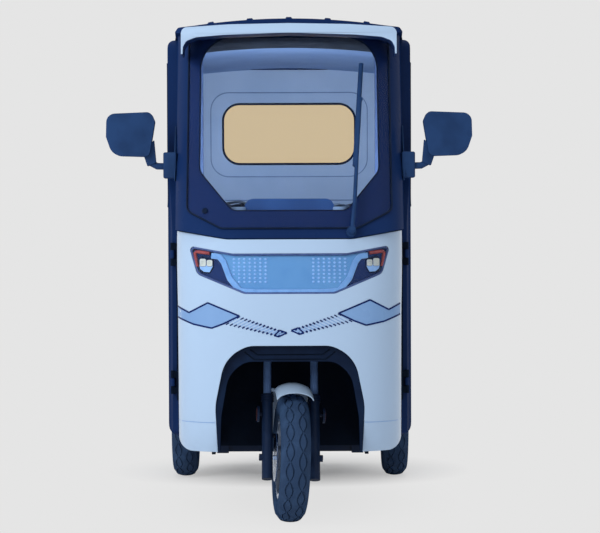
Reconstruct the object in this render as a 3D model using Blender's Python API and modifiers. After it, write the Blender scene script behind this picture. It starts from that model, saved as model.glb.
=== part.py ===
"""Enclosed three-wheeled electric moped: one steered front wheel, two rear wheels and a closed cab.

Metres. X runs to the driver's left, -Y is forward, +Z is up. The origin is on the ground,
on the centre plane, half way along the vehicle. The front wheel stands a little steered.
"""

import math

import bmesh
import bpy
from mathutils import Matrix, Vector

# Whole vehicle
LENGTH = 2.200
REAR_OVERHANG = 0.485
TYRE_BESIDE_FRAME = 0.058
SEAT_GAP = 0.0003
MOVING_GAP = 0.005

# Wheels
TYRE_RADIUS = 0.215
TYRE_WIDTH = 0.100
RIM_SEAT_RADIUS = 0.128
RIM_FLANGE_RADIUS = 0.140
RIM_FLANGE_HALF = 0.041
RIM_FLANGE_THICK = 0.0047
RIM_INNER_RADIUS = 0.115
WHEEL_STEPS = 32
SPOKES = 5
SPOKE_ANGLE = math.radians(22)
SPOKE_DISC_THICK = 0.014
SPOKE_DISC_AT = 0.017
HUB_RADIUS = 0.028
DRUM_RADIUS = 0.080
DRUM_DEPTH = 0.042
DISC_RADIUS = 0.080
DISC_THICK = 0.004
DISC_AT = -0.053
FRONT_HUB_HALF = 0.0555
FRONT_AXLE_RADIUS = 0.008
REAR_SHAFT_RADIUS = 0.012
BORE_GAP = 0.0005

# Steering
CASTER = math.radians(20)
FORK_OFFSET = 0.026
STEER_AT_REST = math.radians(5.5)
LEG_SPREAD = 0.080
LEG_RADIUS = 0.0185
LEG_FOOT = -0.075
LEG_TOP = 0.217
SEAL_RADIUS = 0.021
SEAL_HEIGHT = 0.022
STANCHION_RADIUS = 0.0135
CROWN_BOTTOM = 0.370
CROWN_TOP = 0.400
STEM_RADIUS = 0.0135
STEM_TOP = 0.880
HEAD_TUBE_RADIUS = 0.026
HEAD_TUBE_TOP = 0.590
BAR_RADIUS = 0.011
BAR_HALF = 0.285
GRIP_LENGTH = 0.110
GRIP_RADIUS = 0.016

# Ends of the vehicle
FRONT_Y = -LENGTH / 2
BACK_Y = LENGTH / 2

# Cab and body
FRAME_HALF = 0.361
FASCIA_HALF = FRAME_HALF + 0.016
FASCIA_FLARE = 0.006
SURROUND_HALF = FRAME_HALF + 0.028
FRAME_THICK = 0.030
FRAME_BAR = 0.046
PANEL_BACK_Y = FRONT_Y + 0.400
NOSE_DEPTH = 0.220
NOSE_POWER = 2.6
CORNER_SEAM_Z = 0.343
FASCIA_TOP_Z = 0.950
FASCIA_SIDE_RISE = 0.030
FASCIA_TOP_FLAT = 0.211
SEAM_GAP = 0.003
SCREEN_DEPTH = 0.174
SCREEN_POWER = 3.2
SCREEN_BASE_Y = FRONT_Y + 0.125
SCREEN_RAKE = math.radians(20.7)
GLASS_THICK = 0.004
GLASS_GAP = 0.0006
FLOOR_Z = 0.245
FLOOR_THICK = 0.025
REAR_FLOOR_Z = 0.395
BENCH_TOP_Z = 0.600
SEAT_BASE_Z = 0.560
RISER_Y = BACK_Y - 0.740
WELL_HALF = 0.262
WELL_WALL = 0.012
WELL_BACK_Y = FRONT_Y + 0.500
WELL_TOP_Z = 0.637
DOWNTUBE_Y = WELL_BACK_Y + 0.038
SILL_Z = 0.245
FRAME_TOP_Z = 1.6597
FRAME_FRONT_Y = FRONT_Y + 0.358
FRAME_BACK_Y = BACK_Y - 0.825
PILLAR_BEND_Z = 1.000
PILLAR_LEAN = 0.182 / 0.660
ROOF_TOP_Z = FRAME_TOP_Z + 0.0498
ROOF_SKIN = 0.012
ROOF_DROP = 0.0315
ROOF_SHOULDER = 0.018
ROOF_FRONT_Y = FRONT_Y + 0.400
ROOF_FRONT_HALF = FRAME_HALF + 0.030
ROOF_REAR_HALF = FRAME_HALF + 0.085
RIB_COUNT = 5
RIB_PITCH = 0.134
RIB_WIDTH = 0.023
RIB_HEIGHT = 0.005
REAR_WALL = 0.025
REAR_HALF = FRAME_HALF + 0.089
REAR_FRONT_Y = BACK_Y - 0.864
REAR_DEPTH = 0.150
REAR_POWER = 3.4
BELT_Z = 1.000
REAR_BOTTOM_Z = 0.300
REAR_LEAN = 0.055
WHEEL_ARCH_RADIUS = 0.255
BUMPER_THICK = 0.030
PLATE_HALF = 0.110
PLATE_HEIGHT = 0.150
PLATE_LOW_Z = 0.500
PLATE_STAND_OFF = 0.010

# Doors
DOOR_INNER_X = FRAME_HALF + MOVING_GAP
DOOR_BOTTOM_Z = 0.272
DOOR_TOP_Z = FRAME_TOP_Z - 0.0047
DOOR_FRONT_Y = FRONT_Y + 0.410
DOOR_BACK_Y = BACK_Y - 0.875
DOOR_EDGE_ROUND = 0.028
HINGE_X = FRAME_HALF + 0.041
HINGE_Y = FRONT_Y + 0.395
HINGE_HEIGHTS = (0.460, 0.900)
KNUCKLE_RADIUS = 0.008
KNUCKLE_HEIGHT = 0.026
KNUCKLE_GAP = 0.001
DOOR_GLASS_X = FRAME_HALF + 0.037

# Sizes that follow from the ones above
TRACK = 2 * (FRAME_HALF + TYRE_BESIDE_FRAME)
FRONT_AXLE_Y = FRONT_Y + TYRE_RADIUS
REAR_AXLE_Y = BACK_Y - REAR_OVERHANG
REAR_Y = BACK_Y - BUMPER_THICK - SEAT_GAP
FRAME_INNER_X = FRAME_HALF - FRAME_THICK
FASCIA_THICK = FASCIA_HALF - FRAME_HALF - SEAT_GAP
SURROUND_THICK = SURROUND_HALF - FRAME_HALF - SEAT_GAP
LEG_TILT = Matrix.Rotation(-CASTER, 3, "X")
STEER_POINT = Vector((0, FRONT_AXLE_Y, TYRE_RADIUS)) + LEG_TILT @ Vector((0, FORK_OFFSET, 0))

PARTS = None
CUTTERS = None


# Scene and materials
def clear_scene():
    for obj in list(bpy.data.objects):
        bpy.data.objects.remove(obj)


def collection(name):
    made = bpy.data.collections.new(name)
    bpy.context.scene.collection.children.link(made)
    return made


def material(name, colour, roughness, metallic=0.0, alpha=1.0):
    made = bpy.data.materials.new(name)
    made.use_nodes = True
    shader = made.node_tree.nodes["Principled BSDF"]
    shader.inputs["Base Color"].default_value = (*colour, 1)
    shader.inputs["Roughness"].default_value = roughness
    shader.inputs["Metallic"].default_value = metallic
    shader.inputs["Alpha"].default_value = alpha
    return made


def palette():
    return {
        "white": material("white_panel", (0.52, 0.68, 0.86), 0.25),
        "black": material("black_panel", (0.02, 0.04, 0.09), 0.18),
        "plastic": material("black_plastic", (0.01, 0.016, 0.03), 0.5),
        "rubber": material("tyre_rubber", (0.03, 0.04, 0.06), 0.75),
        "steel": material("painted_steel", (0.02, 0.03, 0.05), 0.4, 0.3),
        "chrome": material("chrome", (0.75, 0.8, 0.88), 0.12, 1.0),
        "alloy": material("cast_alloy", (0.05, 0.07, 0.12), 0.35, 0.6),
        "glass": material("glass", (0.6, 0.7, 0.85), 0.05, 0.0, 0.35),
        "lamp": material("lamp_back", (0.1, 0.2, 0.4), 0.3),
        "seat": material("seat_cover", (0.04, 0.05, 0.07), 0.6),
        "red": material("red_lens", (0.35, 0.01, 0.01), 0.15),
        "amber": material("amber_lens", (0.5, 0.12, 0.03), 0.2),
        "mirror": material("mirror", (0.8, 0.85, 0.9), 0.03, 1.0),
    }


# Outlines
def filleted(corners, steps=4):
    """A closed outline. Each corner is (a, b, radius), and a radius over 0 becomes an arc."""
    points = []
    for i, (a, b, radius) in enumerate(corners):
        here = Vector((a, b))
        if radius <= 0:
            points.append((a, b))
            continue
        back = (Vector(corners[i - 1][:2]) - here).normalized()
        on = (Vector(corners[(i + 1) % len(corners)][:2]) - here).normalized()
        half = back.angle(on) / 2
        centre = here + (back + on).normalized() * (radius / math.sin(half))
        start = here + back * (radius / math.tan(half)) - centre
        end = here + on * (radius / math.tan(half)) - centre
        first = math.atan2(start.y, start.x)
        turn = math.atan2(start.cross(end), start.dot(end))
        for step in range(steps + 1):
            angle = first + turn * step / steps
            points.append((centre.x + radius * math.cos(angle), centre.y + radius * math.sin(angle)))
    return points


def mirrored(half):
    """The corners of one side, from top to bottom, and the same ones on the other side."""
    return half + [(-a, b, radius) for a, b, radius in reversed(half)]


def circle(a, b, radius, steps=24):
    turn = 2 * math.pi / steps
    return [(a + radius * math.cos(i * turn), b + radius * math.sin(i * turn)) for i in range(steps)]


def box_corners(a0, a1, b0, b1, radius=0.0):
    return [(a0, b0, radius), (a1, b0, radius), (a1, b1, radius), (a0, b1, radius)]


# Solids
def add_object(name, mesh, finish=None, helper=False):
    obj = bpy.data.objects.new(name, mesh)
    (CUTTERS if helper else PARTS).objects.link(obj)
    if helper:
        obj.hide_render = True
        obj.display_type = "WIRE"
    elif finish:
        obj.data.materials.append(finish)
    return obj


def mesh_of(obj):
    """The evaluated mesh of an object in world space, with its caps welded."""
    bpy.context.view_layer.update()
    evaluated = obj.evaluated_get(bpy.context.evaluated_depsgraph_get())
    mesh = bpy.data.meshes.new_from_object(evaluated)
    mesh.transform(obj.matrix_world)
    shape = bmesh.new()
    shape.from_mesh(mesh)
    bmesh.ops.remove_doubles(shape, verts=shape.verts, dist=0.00001)
    bmesh.ops.recalc_face_normals(shape, faces=shape.faces)
    shape.to_mesh(mesh)
    shape.free()
    mesh.materials.clear()
    return mesh


def from_curve(name, curve, matrix, finish, helper):
    guide = bpy.data.objects.new(name + "_guide", curve)
    CUTTERS.objects.link(guide)
    guide.matrix_world = matrix
    mesh = mesh_of(guide)
    mesh.name = name
    bpy.data.objects.remove(guide)
    return add_object(name, mesh, finish, helper)


def prism(name, outlines, axis, low, high, finish=None, helper=False):
    """A flat outline, with holes after the first, drawn along an axis from low to high.

    Along X the outline is (y, z), along Y it is (x, z) and along Z it is (x, y).
    """
    turn = {
        "X": Matrix(((0, 0, 1), (1, 0, 0), (0, 1, 0))),
        "Y": Matrix(((1, 0, 0), (0, 0, -1), (0, 1, 0))),
        "Z": Matrix.Identity(3),
    }[axis]
    curve = bpy.data.curves.new(name, "CURVE")
    curve.dimensions = "2D"
    curve.fill_mode = "BOTH"
    curve.extrude = abs(high - low) / 2
    for outline in outlines:
        spline = curve.splines.new("POLY")
        spline.points.add(len(outline) - 1)
        for point, (a, b) in zip(spline.points, outline):
            point.co = (a, b, 0, 1)
        spline.use_cyclic_u = True
    middle = {"X": (1, 0, 0), "Y": (0, 1, 0), "Z": (0, 0, 1)}[axis]
    place = Matrix.Translation(Vector(middle) * (low + high) / 2) @ turn.to_4x4()
    return from_curve(name, curve, place, finish, helper)


def box(name, low, high, finish=None, helper=False):
    mesh = bpy.data.meshes.new(name)
    shape = bmesh.new()
    bmesh.ops.create_cube(shape, size=1.0)
    size = Vector(high) - Vector(low)
    bmesh.ops.scale(shape, vec=size, verts=shape.verts)
    bmesh.ops.translate(shape, vec=(Vector(low) + Vector(high)) / 2, verts=shape.verts)
    shape.to_mesh(mesh)
    shape.free()
    return add_object(name, mesh, finish, helper)


def rod(name, start, end, radius, finish=None, helper=False, steps=20, end_radius=None):
    start, end = Vector(start), Vector(end)
    mesh = bpy.data.meshes.new(name)
    shape = bmesh.new()
    bmesh.ops.create_cone(
        shape,
        cap_ends=True,
        segments=steps,
        radius1=radius,
        radius2=radius if end_radius is None else end_radius,
        depth=(end - start).length,
    )
    turn = (end - start).to_track_quat("Z", "Y").to_matrix().to_4x4()
    bmesh.ops.transform(
        shape, matrix=Matrix.Translation((start + end) / 2) @ turn, verts=shape.verts
    )
    shape.to_mesh(mesh)
    shape.free()
    obj = add_object(name, mesh, finish, helper)
    return obj


def tube(name, points, radius, finish=None, helper=False, sides=2):
    curve = bpy.data.curves.new(name, "CURVE")
    curve.dimensions = "3D"
    curve.bevel_depth = radius
    curve.bevel_resolution = sides
    curve.use_fill_caps = True
    spline = curve.splines.new("POLY")
    spline.points.add(len(points) - 1)
    for point, place in zip(spline.points, points):
        point.co = (*place, 1)
    return from_curve(name, curve, Matrix.Identity(4), finish, helper)


def turned(name, profile, finish=None, helper=False, steps=WHEEL_STEPS, angle=2 * math.pi, closed=True):
    """A profile of (along, radius) points turned about the X axis.

    Its mesh lies about local Z, and the object is turned so that local Z is world X.
    """
    mesh = bpy.data.meshes.new(name)
    count = len(profile)
    edges = [(i, (i + 1) % count) for i in range(count if closed else count - 1)]
    mesh.from_pydata([(radius, 0, along) for along, radius in profile], edges, [])
    obj = add_object(name, mesh, finish, helper)
    screw = obj.modifiers.new("turn", "SCREW")
    screw.axis = "Z"
    screw.angle = angle
    screw.steps = screw.render_steps = steps
    screw.use_merge_vertices = True
    screw.merge_threshold = 0.00001
    screw.use_smooth_shade = True
    obj.matrix_world = Matrix.Rotation(math.pi / 2, 4, "Y")
    return obj


def sheet(name, rows, thick, lift=0.0, finish=None, helper=False, faces_back=False):
    """A grid of points as a shell: its outer skin is lifted by lift, and it is thick inwards."""
    mesh = bpy.data.meshes.new(name)
    shape = bmesh.new()
    grid = [[shape.verts.new(point) for point in row] for row in rows]
    for lower, upper in zip(grid, grid[1:]):
        for i in range(len(lower) - 1):
            corners = (lower[i], lower[i + 1], upper[i + 1], upper[i])
            shape.faces.new(corners[::-1] if faces_back else corners)
    shape.normal_update()
    for vert in shape.verts:
        vert.co += vert.normal * lift
    shape.to_mesh(mesh)
    shape.free()
    obj = add_object(name, mesh, finish, helper)
    shell = obj.modifiers.new("wall", "SOLIDIFY")
    shell.thickness = thick
    shell.offset = -1
    shell.use_even_offset = True
    return obj


def boolean(obj, other, operation, solver="EXACT"):
    step = obj.modifiers.new(operation.lower(), "BOOLEAN")
    step.operation = operation
    step.object = other
    step.solver = solver
    return obj


def cut(obj, *others):
    for other in others:
        boolean(obj, other, "DIFFERENCE")
    return obj


def join(obj, *others, solver="EXACT"):
    for other in others:
        boolean(obj, other, "UNION", solver)
    return obj


def trim(obj, *others):
    for other in others:
        boolean(obj, other, "INTERSECT")
    return obj


def hold(child, parent):
    """Parents a piece that is already in place, and leaves it where it is."""
    bpy.context.view_layer.update()
    child.parent = parent
    child.matrix_parent_inverse = parent.matrix_world.inverted()


def empty(name, matrix):
    obj = bpy.data.objects.new(name, None)
    PARTS.objects.link(obj)
    obj.matrix_world = matrix
    return obj


# Body surfaces
def plan_curve(half, depth, power, front_y, back_y, steps=9):
    """Points (x, y) round the front of a body, from its right side to its left.

    The curve is a superellipse quarter on each side, then runs straight back to back_y.
    """
    quarter = []
    for i in range(steps + 1):
        angle = math.pi / 2 * i / steps
        x = half * math.sin(angle) ** (2 / power)
        y = front_y + depth * (1 - max(math.cos(angle), 0.0) ** (2 / power))
        quarter.append((x, y))
    quarter.append((half, back_y))
    return [(-x, y) for x, y in reversed(quarter[1:])] + quarter


def table_value(table, z):
    """Straight-line value of a table of (z, value) rows, held at its ends."""
    if z <= table[0][0]:
        return table[0][1]
    for (z0, v0), (z1, v1) in zip(table, table[1:]):
        if z <= z1:
            return v0 + (v1 - v0) * (z - z0) / (z1 - z0)
    return table[-1][1]


# Rows are (height, how far the nose stands behind the vehicle's front end)
NOSE = (
    (0.243, 0.108),
    (0.290, 0.088),
    (CORNER_SEAM_Z, 0.078),
    (0.450, 0.070),
    (0.600, 0.068),
    (0.760, 0.072),
    (0.850, 0.084),
    (0.910, 0.098),
    (FASCIA_TOP_Z, 0.115),
    (FASCIA_TOP_Z + 0.035, 0.125),
)
FASCIA_ROWS = (0.243, 0.290, CORNER_SEAM_Z, 0.450, 0.600, 0.760, 0.850, 0.910, FASCIA_TOP_Z, FASCIA_TOP_Z + 0.035)
# Rows are (height, share of the flare that the fascia has there)
FLARE = ((0.50, 0.0), (0.72, 0.25), (0.85, 0.70), (FASCIA_TOP_Z, 1.0))


def seam_line(rise):
    """The fascia's top edge as (x, z, radius) from left to right. It rises towards the sides."""
    low, high = FASCIA_TOP_Z + rise, FASCIA_TOP_Z + FASCIA_SIDE_RISE + rise
    half = FASCIA_HALF + FASCIA_FLARE
    return [(half + 0.12, high, 0), (half, high, 0), (FASCIA_TOP_FLAT, low, 0.1)]


def nose_row(z, grow=0.0):
    front = FRONT_Y + table_value(NOSE, z) - grow
    half = FASCIA_HALF + FASCIA_FLARE * table_value(FLARE, z) + grow
    curve = plan_curve(half, NOSE_DEPTH, NOSE_POWER, front, PANEL_BACK_Y)
    return [(x, y, z) for x, y in curve]


def screen_y(z):
    return SCREEN_BASE_Y + (z - FASCIA_TOP_Z) * math.tan(SCREEN_RAKE)


def pillar_y(z, foot_y):
    """A line that is upright to the bend in the front pillar and leans back above it."""
    return foot_y + max(z - PILLAR_BEND_Z, 0.0) * PILLAR_LEAN


def screen_row(z):
    back_y = pillar_y(z, PANEL_BACK_Y)
    curve = plan_curve(SURROUND_HALF, SCREEN_DEPTH, SCREEN_POWER, screen_y(z), back_y)
    return [(x, y, z) for x, y in curve]


def screen_rows():
    heights = (0.930, PILLAR_BEND_Z, 1.10, 1.25, 1.40, 1.55, FRAME_TOP_Z)
    return [screen_row(z) for z in heights]


def rear_row(z):
    lean = REAR_LEAN * max(z - BELT_Z, 0.0) / (FRAME_TOP_Z - BELT_Z)
    curve = plan_curve(REAR_HALF, REAR_DEPTH, REAR_POWER, -REAR_Y + lean, -REAR_FRONT_Y)
    return [(x, -y, z) for x, y in curve]


# Front view outlines, each corner as (x, z, radius)
ARCH = [(0.1375, 0.599, 0.09), (0.2150, 0.560, 0.12), (0.2480, 0.400, 0.20), (0.2400, 0.230, 0)]
ARCH_INNER = [(0.1500, 0.545, 0.07), (0.2050, 0.500, 0.10), (0.2290, 0.360, 0.20), (0.2330, 0.230, 0)]
FASCIA_VIEW = [
    (FASCIA_HALF + 0.023, 0.3200, 0),
    (FASCIA_HALF + 0.0005, 0.3180, 0),
    (FASCIA_HALF + 0.0005, 0.2425, 0.052),
    (0.230, 0.2425, 0),
]
LAMP = [
    (0.1900, 0.9035, 0.03),
    (FRAME_HALF - 0.024, 0.9300, 0.012),
    (FRAME_HALF - 0.053, 0.8350, 0.03),
    (0.1500, 0.7700, 0.04),
]
SCREEN_GLASS = [
    (FRAME_HALF - 0.019, FRAME_TOP_Z - 0.0077, 0.03),
    (FRAME_HALF - 0.019, 1.045, 0.03),
    (0.228, 0.986, 0.03),
]
SCREEN_CLEAR = [
    (FRAME_HALF - 0.058, FRAME_TOP_Z - 0.0147, 0.11),
    (FRAME_HALF - 0.058, 1.180, 0.05),
    (0.192, 1.046, 0.04),
]
REAR_WINDOW = [(0.277, 1.518, 0.07), (0.277, 1.267, 0.07)]


def grown(half, by):
    """The same corners moved outwards by about this much, for a mirrored outline."""
    middle = sum(b for _, b, _ in half) / len(half)
    return [(a + by, b + (by if b > middle else -by), radius) for a, b, radius in half]


# Wheels
def tyre_profile():
    half = TYRE_WIDTH / 2
    bead = RIM_FLANGE_HALF - RIM_FLANGE_THICK - SEAT_GAP
    outer = [
        (0, TYRE_RADIUS),
        (half * 0.56, TYRE_RADIUS - 0.0045),
        (half * 0.84, TYRE_RADIUS - 0.015),
        (half * 0.97, TYRE_RADIUS - 0.028),
        (half, TYRE_RADIUS - 0.045),
        (half * 0.90, RIM_FLANGE_RADIUS + 0.012),
        (bead, RIM_FLANGE_RADIUS + 0.0025),
        (bead, RIM_SEAT_RADIUS),
    ]
    return outer[::-1] + [(-along, radius) for along, radius in outer[1:]]


def wheel_profile(bore, front_end, back):
    """Rim, spoke disc and hub in one loop. The rows in back are (along, radius) behind the disc."""
    flange, inner = RIM_FLANGE_HALF, RIM_FLANGE_HALF - RIM_FLANGE_THICK
    seat = RIM_SEAT_RADIUS - SEAT_GAP
    high, low = SPOKE_DISC_AT + SPOKE_DISC_THICK / 2, SPOKE_DISC_AT - SPOKE_DISC_THICK / 2
    return [
        (front_end, bore),
        (front_end, HUB_RADIUS),
        (high, HUB_RADIUS),
        (high, RIM_INNER_RADIUS),
        (flange, RIM_INNER_RADIUS + 0.005),
        (flange, RIM_FLANGE_RADIUS),
        (inner, RIM_FLANGE_RADIUS),
        (inner, seat),
        (-inner, seat),
        (-inner, RIM_FLANGE_RADIUS),
        (-flange, RIM_FLANGE_RADIUS),
        (-flange, RIM_INNER_RADIUS + 0.005),
        (low, RIM_INNER_RADIUS),
        (low, back[0][1]),
        *back,
        (back[-1][0], bore),
    ]


def ring_profile(low, high, inner, outer):
    return [(high, inner), (high, outer), (low, outer), (low, inner)]


def spoke_windows():
    """The openings between the spokes, as outlines about the wheel's centre."""
    inner, outer = HUB_RADIUS + 0.014, RIM_INNER_RADIUS - 0.008
    pitch = 2 * math.pi / SPOKES
    windows = []
    for i in range(SPOKES):
        reach = (pitch - SPOKE_ANGLE) / 2
        middle = pitch * i
        far = [middle - reach + 2 * reach * j / 5 for j in range(6)]
        near = [middle + reach * 0.55 - 1.1 * reach * j / 2 for j in range(3)]
        windows.append(
            [(outer * math.cos(t), outer * math.sin(t)) for t in far]
            + [(inner * math.cos(t), inner * math.sin(t)) for t in near]
        )
    return windows


def build_wheel(name, centre, side, bore, front_end, back, finishes):
    """A tyre and a cast wheel about X, placed by an empty at the centre of the wheel."""
    spin = empty(name + "_spin", Matrix.Translation(centre))
    tyre = turned(name + "_tyre", tyre_profile(), finishes["rubber"])
    profile = wheel_profile(bore, front_end, back)
    if side < 0:
        profile = [(-along, radius) for along, radius in reversed(profile)]
    rim = turned(name + "_rim", profile, finishes["alloy"])
    low, high = SPOKE_DISC_AT - SPOKE_DISC_THICK / 2 - 0.001, SPOKE_DISC_AT + SPOKE_DISC_THICK / 2 + 0.005
    windows = prism(name + "_windows", spoke_windows(), "X", *sorted((side * low, side * high)), helper=True)
    cut(rim, windows)
    pieces = [tyre, rim, windows]
    for piece in pieces:
        piece.matrix_world = Matrix.Translation(centre) @ piece.matrix_world
    return spin, pieces


def build_rear_wheels(finishes):
    for word, side in (("left", 1), ("right", -1)):
        centre = Vector((side * TRACK / 2, REAR_AXLE_Y, TYRE_RADIUS))
        bore = REAR_SHAFT_RADIUS + BORE_GAP
        front_end = SPOKE_DISC_AT + 0.020
        back = [(-DRUM_DEPTH, DRUM_RADIUS)]
        spin, pieces = build_wheel("rear_wheel_" + word, centre, side, bore, front_end, back, finishes)
        for piece in pieces:
            hold(piece, spin)


# Steered front end, modelled about the steering axis as local Z and turned with it
def place_on_axis(pieces, steering):
    for piece in pieces:
        bpy.context.view_layer.update()
        piece.matrix_world = steering.matrix_world @ piece.matrix_world
        hold(piece, steering)


def build_front_end(finishes):
    turn = Matrix.Rotation(-CASTER, 4, "X") @ Matrix.Rotation(STEER_AT_REST, 4, "Z")
    steering = empty("steering", Matrix.Translation(STEER_POINT) @ turn)
    pieces = []
    for word, side in (("left", 1), ("right", -1)):
        x = side * LEG_SPREAD
        leg = rod(
            "fork_leg_" + word,
            (x, -FORK_OFFSET, LEG_FOOT),
            (x, -FORK_OFFSET, LEG_TOP),
            LEG_RADIUS,
            finishes["steel"],
            steps=24,
        )
        seal = rod(
            "fork_seal_" + word,
            (x, -FORK_OFFSET, LEG_TOP - SEAL_HEIGHT),
            (x, -FORK_OFFSET, LEG_TOP + 0.002),
            SEAL_RADIUS,
            helper=True,
            steps=24,
        )
        nut = rod(
            "axle_nut_" + word,
            (x + side * LEG_RADIUS * 0.5, -FORK_OFFSET, 0),
            (x + side * (LEG_RADIUS + 0.009), -FORK_OFFSET, 0),
            0.012,
            helper=True,
            steps=6,
        )
        join(leg, seal, nut)
        stanchion = rod(
            "stanchion_" + word,
            (x, -FORK_OFFSET, LEG_TOP + 0.002 + SEAT_GAP),
            (x, -FORK_OFFSET, CROWN_BOTTOM - SEAT_GAP),
            STANCHION_RADIUS,
            finishes["chrome"],
            steps=24,
        )
        reflector_stalk = rod(
            "reflector_stalk_" + word,
            (x, -FORK_OFFSET, 0.150),
            (x + side * (LEG_RADIUS + 0.012), -FORK_OFFSET, 0.150),
            0.006,
            helper=True,
            steps=10,
        )
        reflector = rod(
            "reflector_" + word,
            (x + side * (LEG_RADIUS + 0.009), -FORK_OFFSET, 0.150),
            (x + side * (LEG_RADIUS + 0.017), -FORK_OFFSET, 0.150),
            0.027,
            helper=True,
            steps=20,
        )
        join(leg, reflector_stalk, reflector, solver="MANIFOLD")
        pieces += [leg, seal, nut, stanchion, reflector_stalk, reflector]
    crown_outline = filleted(
        mirrored([(LEG_SPREAD + 0.022, 0.010, 0.02), (LEG_SPREAD + 0.022, -FORK_OFFSET - 0.022, 0.02)])
    )
    crown = prism("fork_crown", [crown_outline], "Z", CROWN_BOTTOM, CROWN_TOP, finishes["steel"])
    stem = rod("stem", (0, 0, CROWN_BOTTOM + 0.005), (0, 0, STEM_TOP), STEM_RADIUS, helper=True, steps=24)
    join(crown, stem)
    pieces += [crown, stem]
    pieces += build_handlebar(finishes)
    pieces += build_fender(finishes)
    axle = rod(
        "front_axle",
        (-LEG_SPREAD + LEG_RADIUS + SEAT_GAP, -FORK_OFFSET, 0),
        (LEG_SPREAD - LEG_RADIUS - SEAT_GAP, -FORK_OFFSET, 0),
        FRONT_AXLE_RADIUS,
        finishes["steel"],
        steps=20,
    )
    pieces.append(axle)
    pieces += build_caliper(bpy.data.objects["fork_leg_right"])
    place_on_axis(pieces, steering)
    build_front_wheel(steering, finishes)


def build_handlebar(finishes):
    # Half of the bar, from the stem outwards, as (x, y, z) on the steering axis
    half = [(0.0, 0.0, 0.895), (0.10, 0.005, 0.900), (0.160, 0.035, 0.910), (BAR_HALF, 0.110, 0.905)]
    route = [(-x, y, z) for x, y, z in reversed(half[1:])] + half
    bar = tube("handlebar", route, BAR_RADIUS, finishes["steel"], sides=3)
    boss = rod("bar_boss", (0, 0, STEM_TOP + SEAT_GAP), (0, 0, 0.905), 0.020, helper=True)
    join(bar, boss)
    pieces = [bar, boss]
    along = (Vector(half[3]) - Vector(half[2])).normalized()
    for side in (1, -1):
        mirror = Vector((side, 1, 1))
        end = (Vector(half[3]) + along * 0.004) * mirror
        start = (Vector(half[3]) - along * GRIP_LENGTH) * mirror
        grip = rod(f"grip_{side}", start, end, GRIP_RADIUS, helper=True, steps=16)
        pod_at = (Vector(half[3]) - along * (GRIP_LENGTH + 0.002)) * mirror
        pod = rod(f"pod_{side}", pod_at - (end - start).normalized() * 0.035, pod_at, 0.024, helper=True, steps=12)
        join(bar, grip, pod)
        pieces += [grip, pod]
    return pieces


def build_fender(finishes):
    # Crowned section over the tyre, as (across, radius from the axle)
    half = [(0.0, 0.253), (0.020, 0.2512), (0.036, 0.2467), (0.048, 0.2410), (0.0565, 0.2335), (0.0622, 0.2240)]
    section = [(a, r) for a, r in reversed(half)] + [(-a, r) for a, r in half[1:]]
    front, back = math.radians(46), math.radians(-75)
    fender = turned("front_fender", section, finishes["white"], steps=14, angle=front - back, closed=False)
    shell = fender.modifiers.new("wall", "SOLIDIFY")
    shell.thickness = 0.003
    shell.offset = -1
    shell.use_even_offset = True
    bpy.context.view_layer.update()
    start = Matrix.Rotation(math.pi - front, 4, "X")
    fender.matrix_world = Matrix.Translation((0, -FORK_OFFSET, 0)) @ start @ fender.matrix_world
    pieces = [fender]
    for side in (1, -1):
        inner, outer = side * 0.049, side * (LEG_SPREAD - STANCHION_RADIUS - SEAT_GAP)
        lug = rod(
            f"fender_lug_{side}",
            (inner, -FORK_OFFSET, 0.236),
            (outer, -FORK_OFFSET, 0.236),
            0.007,
            helper=True,
            steps=12,
        )
        join(fender, lug)
        pieces.append(lug)
    return pieces


def build_caliper(leg):
    """The brake caliper straddles the disc behind the right fork leg."""
    low_x, high_x = -LEG_SPREAD - 0.004, -0.040
    caliper = box("brake_caliper", (low_x, 0.004, 0.045), (high_x, 0.034, 0.092), helper=True)
    arm = box("caliper_arm", (low_x - 0.002, -FORK_OFFSET, 0.055), (-0.072, 0.020, 0.085), helper=True)
    slot_low, slot_high = DISC_AT - DISC_THICK / 2 - MOVING_GAP, DISC_AT + DISC_THICK / 2 + MOVING_GAP
    slot = box("disc_slot", (slot_low, -0.020, 0.020), (slot_high, 0.090, 0.084), helper=True)
    join(leg, caliper, arm)
    cut(leg, slot)
    return [caliper, arm, slot]


def build_front_wheel(steering, finishes):
    holder = DISC_AT + DISC_THICK / 2 + SEAT_GAP
    back = [(holder, 0.040), (holder, HUB_RADIUS), (-FRONT_HUB_HALF, HUB_RADIUS)]
    centre = Vector((0, -FORK_OFFSET, 0))
    bore = FRONT_AXLE_RADIUS + BORE_GAP
    spin, pieces = build_wheel("front_wheel", centre, 1, bore, FRONT_HUB_HALF, back, finishes)
    ring = ring_profile(-DISC_THICK / 2, DISC_THICK / 2, HUB_RADIUS + SEAT_GAP, DISC_RADIUS)
    disc = turned("front_brake_disc", ring, finishes["chrome"], steps=28)
    disc.matrix_world = Matrix.Translation(centre + Vector((DISC_AT, 0, 0))) @ disc.matrix_world
    spin.matrix_world = steering.matrix_world @ spin.matrix_world
    hold(spin, steering)
    for piece in [*pieces, disc]:
        piece.matrix_world = steering.matrix_world @ piece.matrix_world
        hold(piece, spin)


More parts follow.
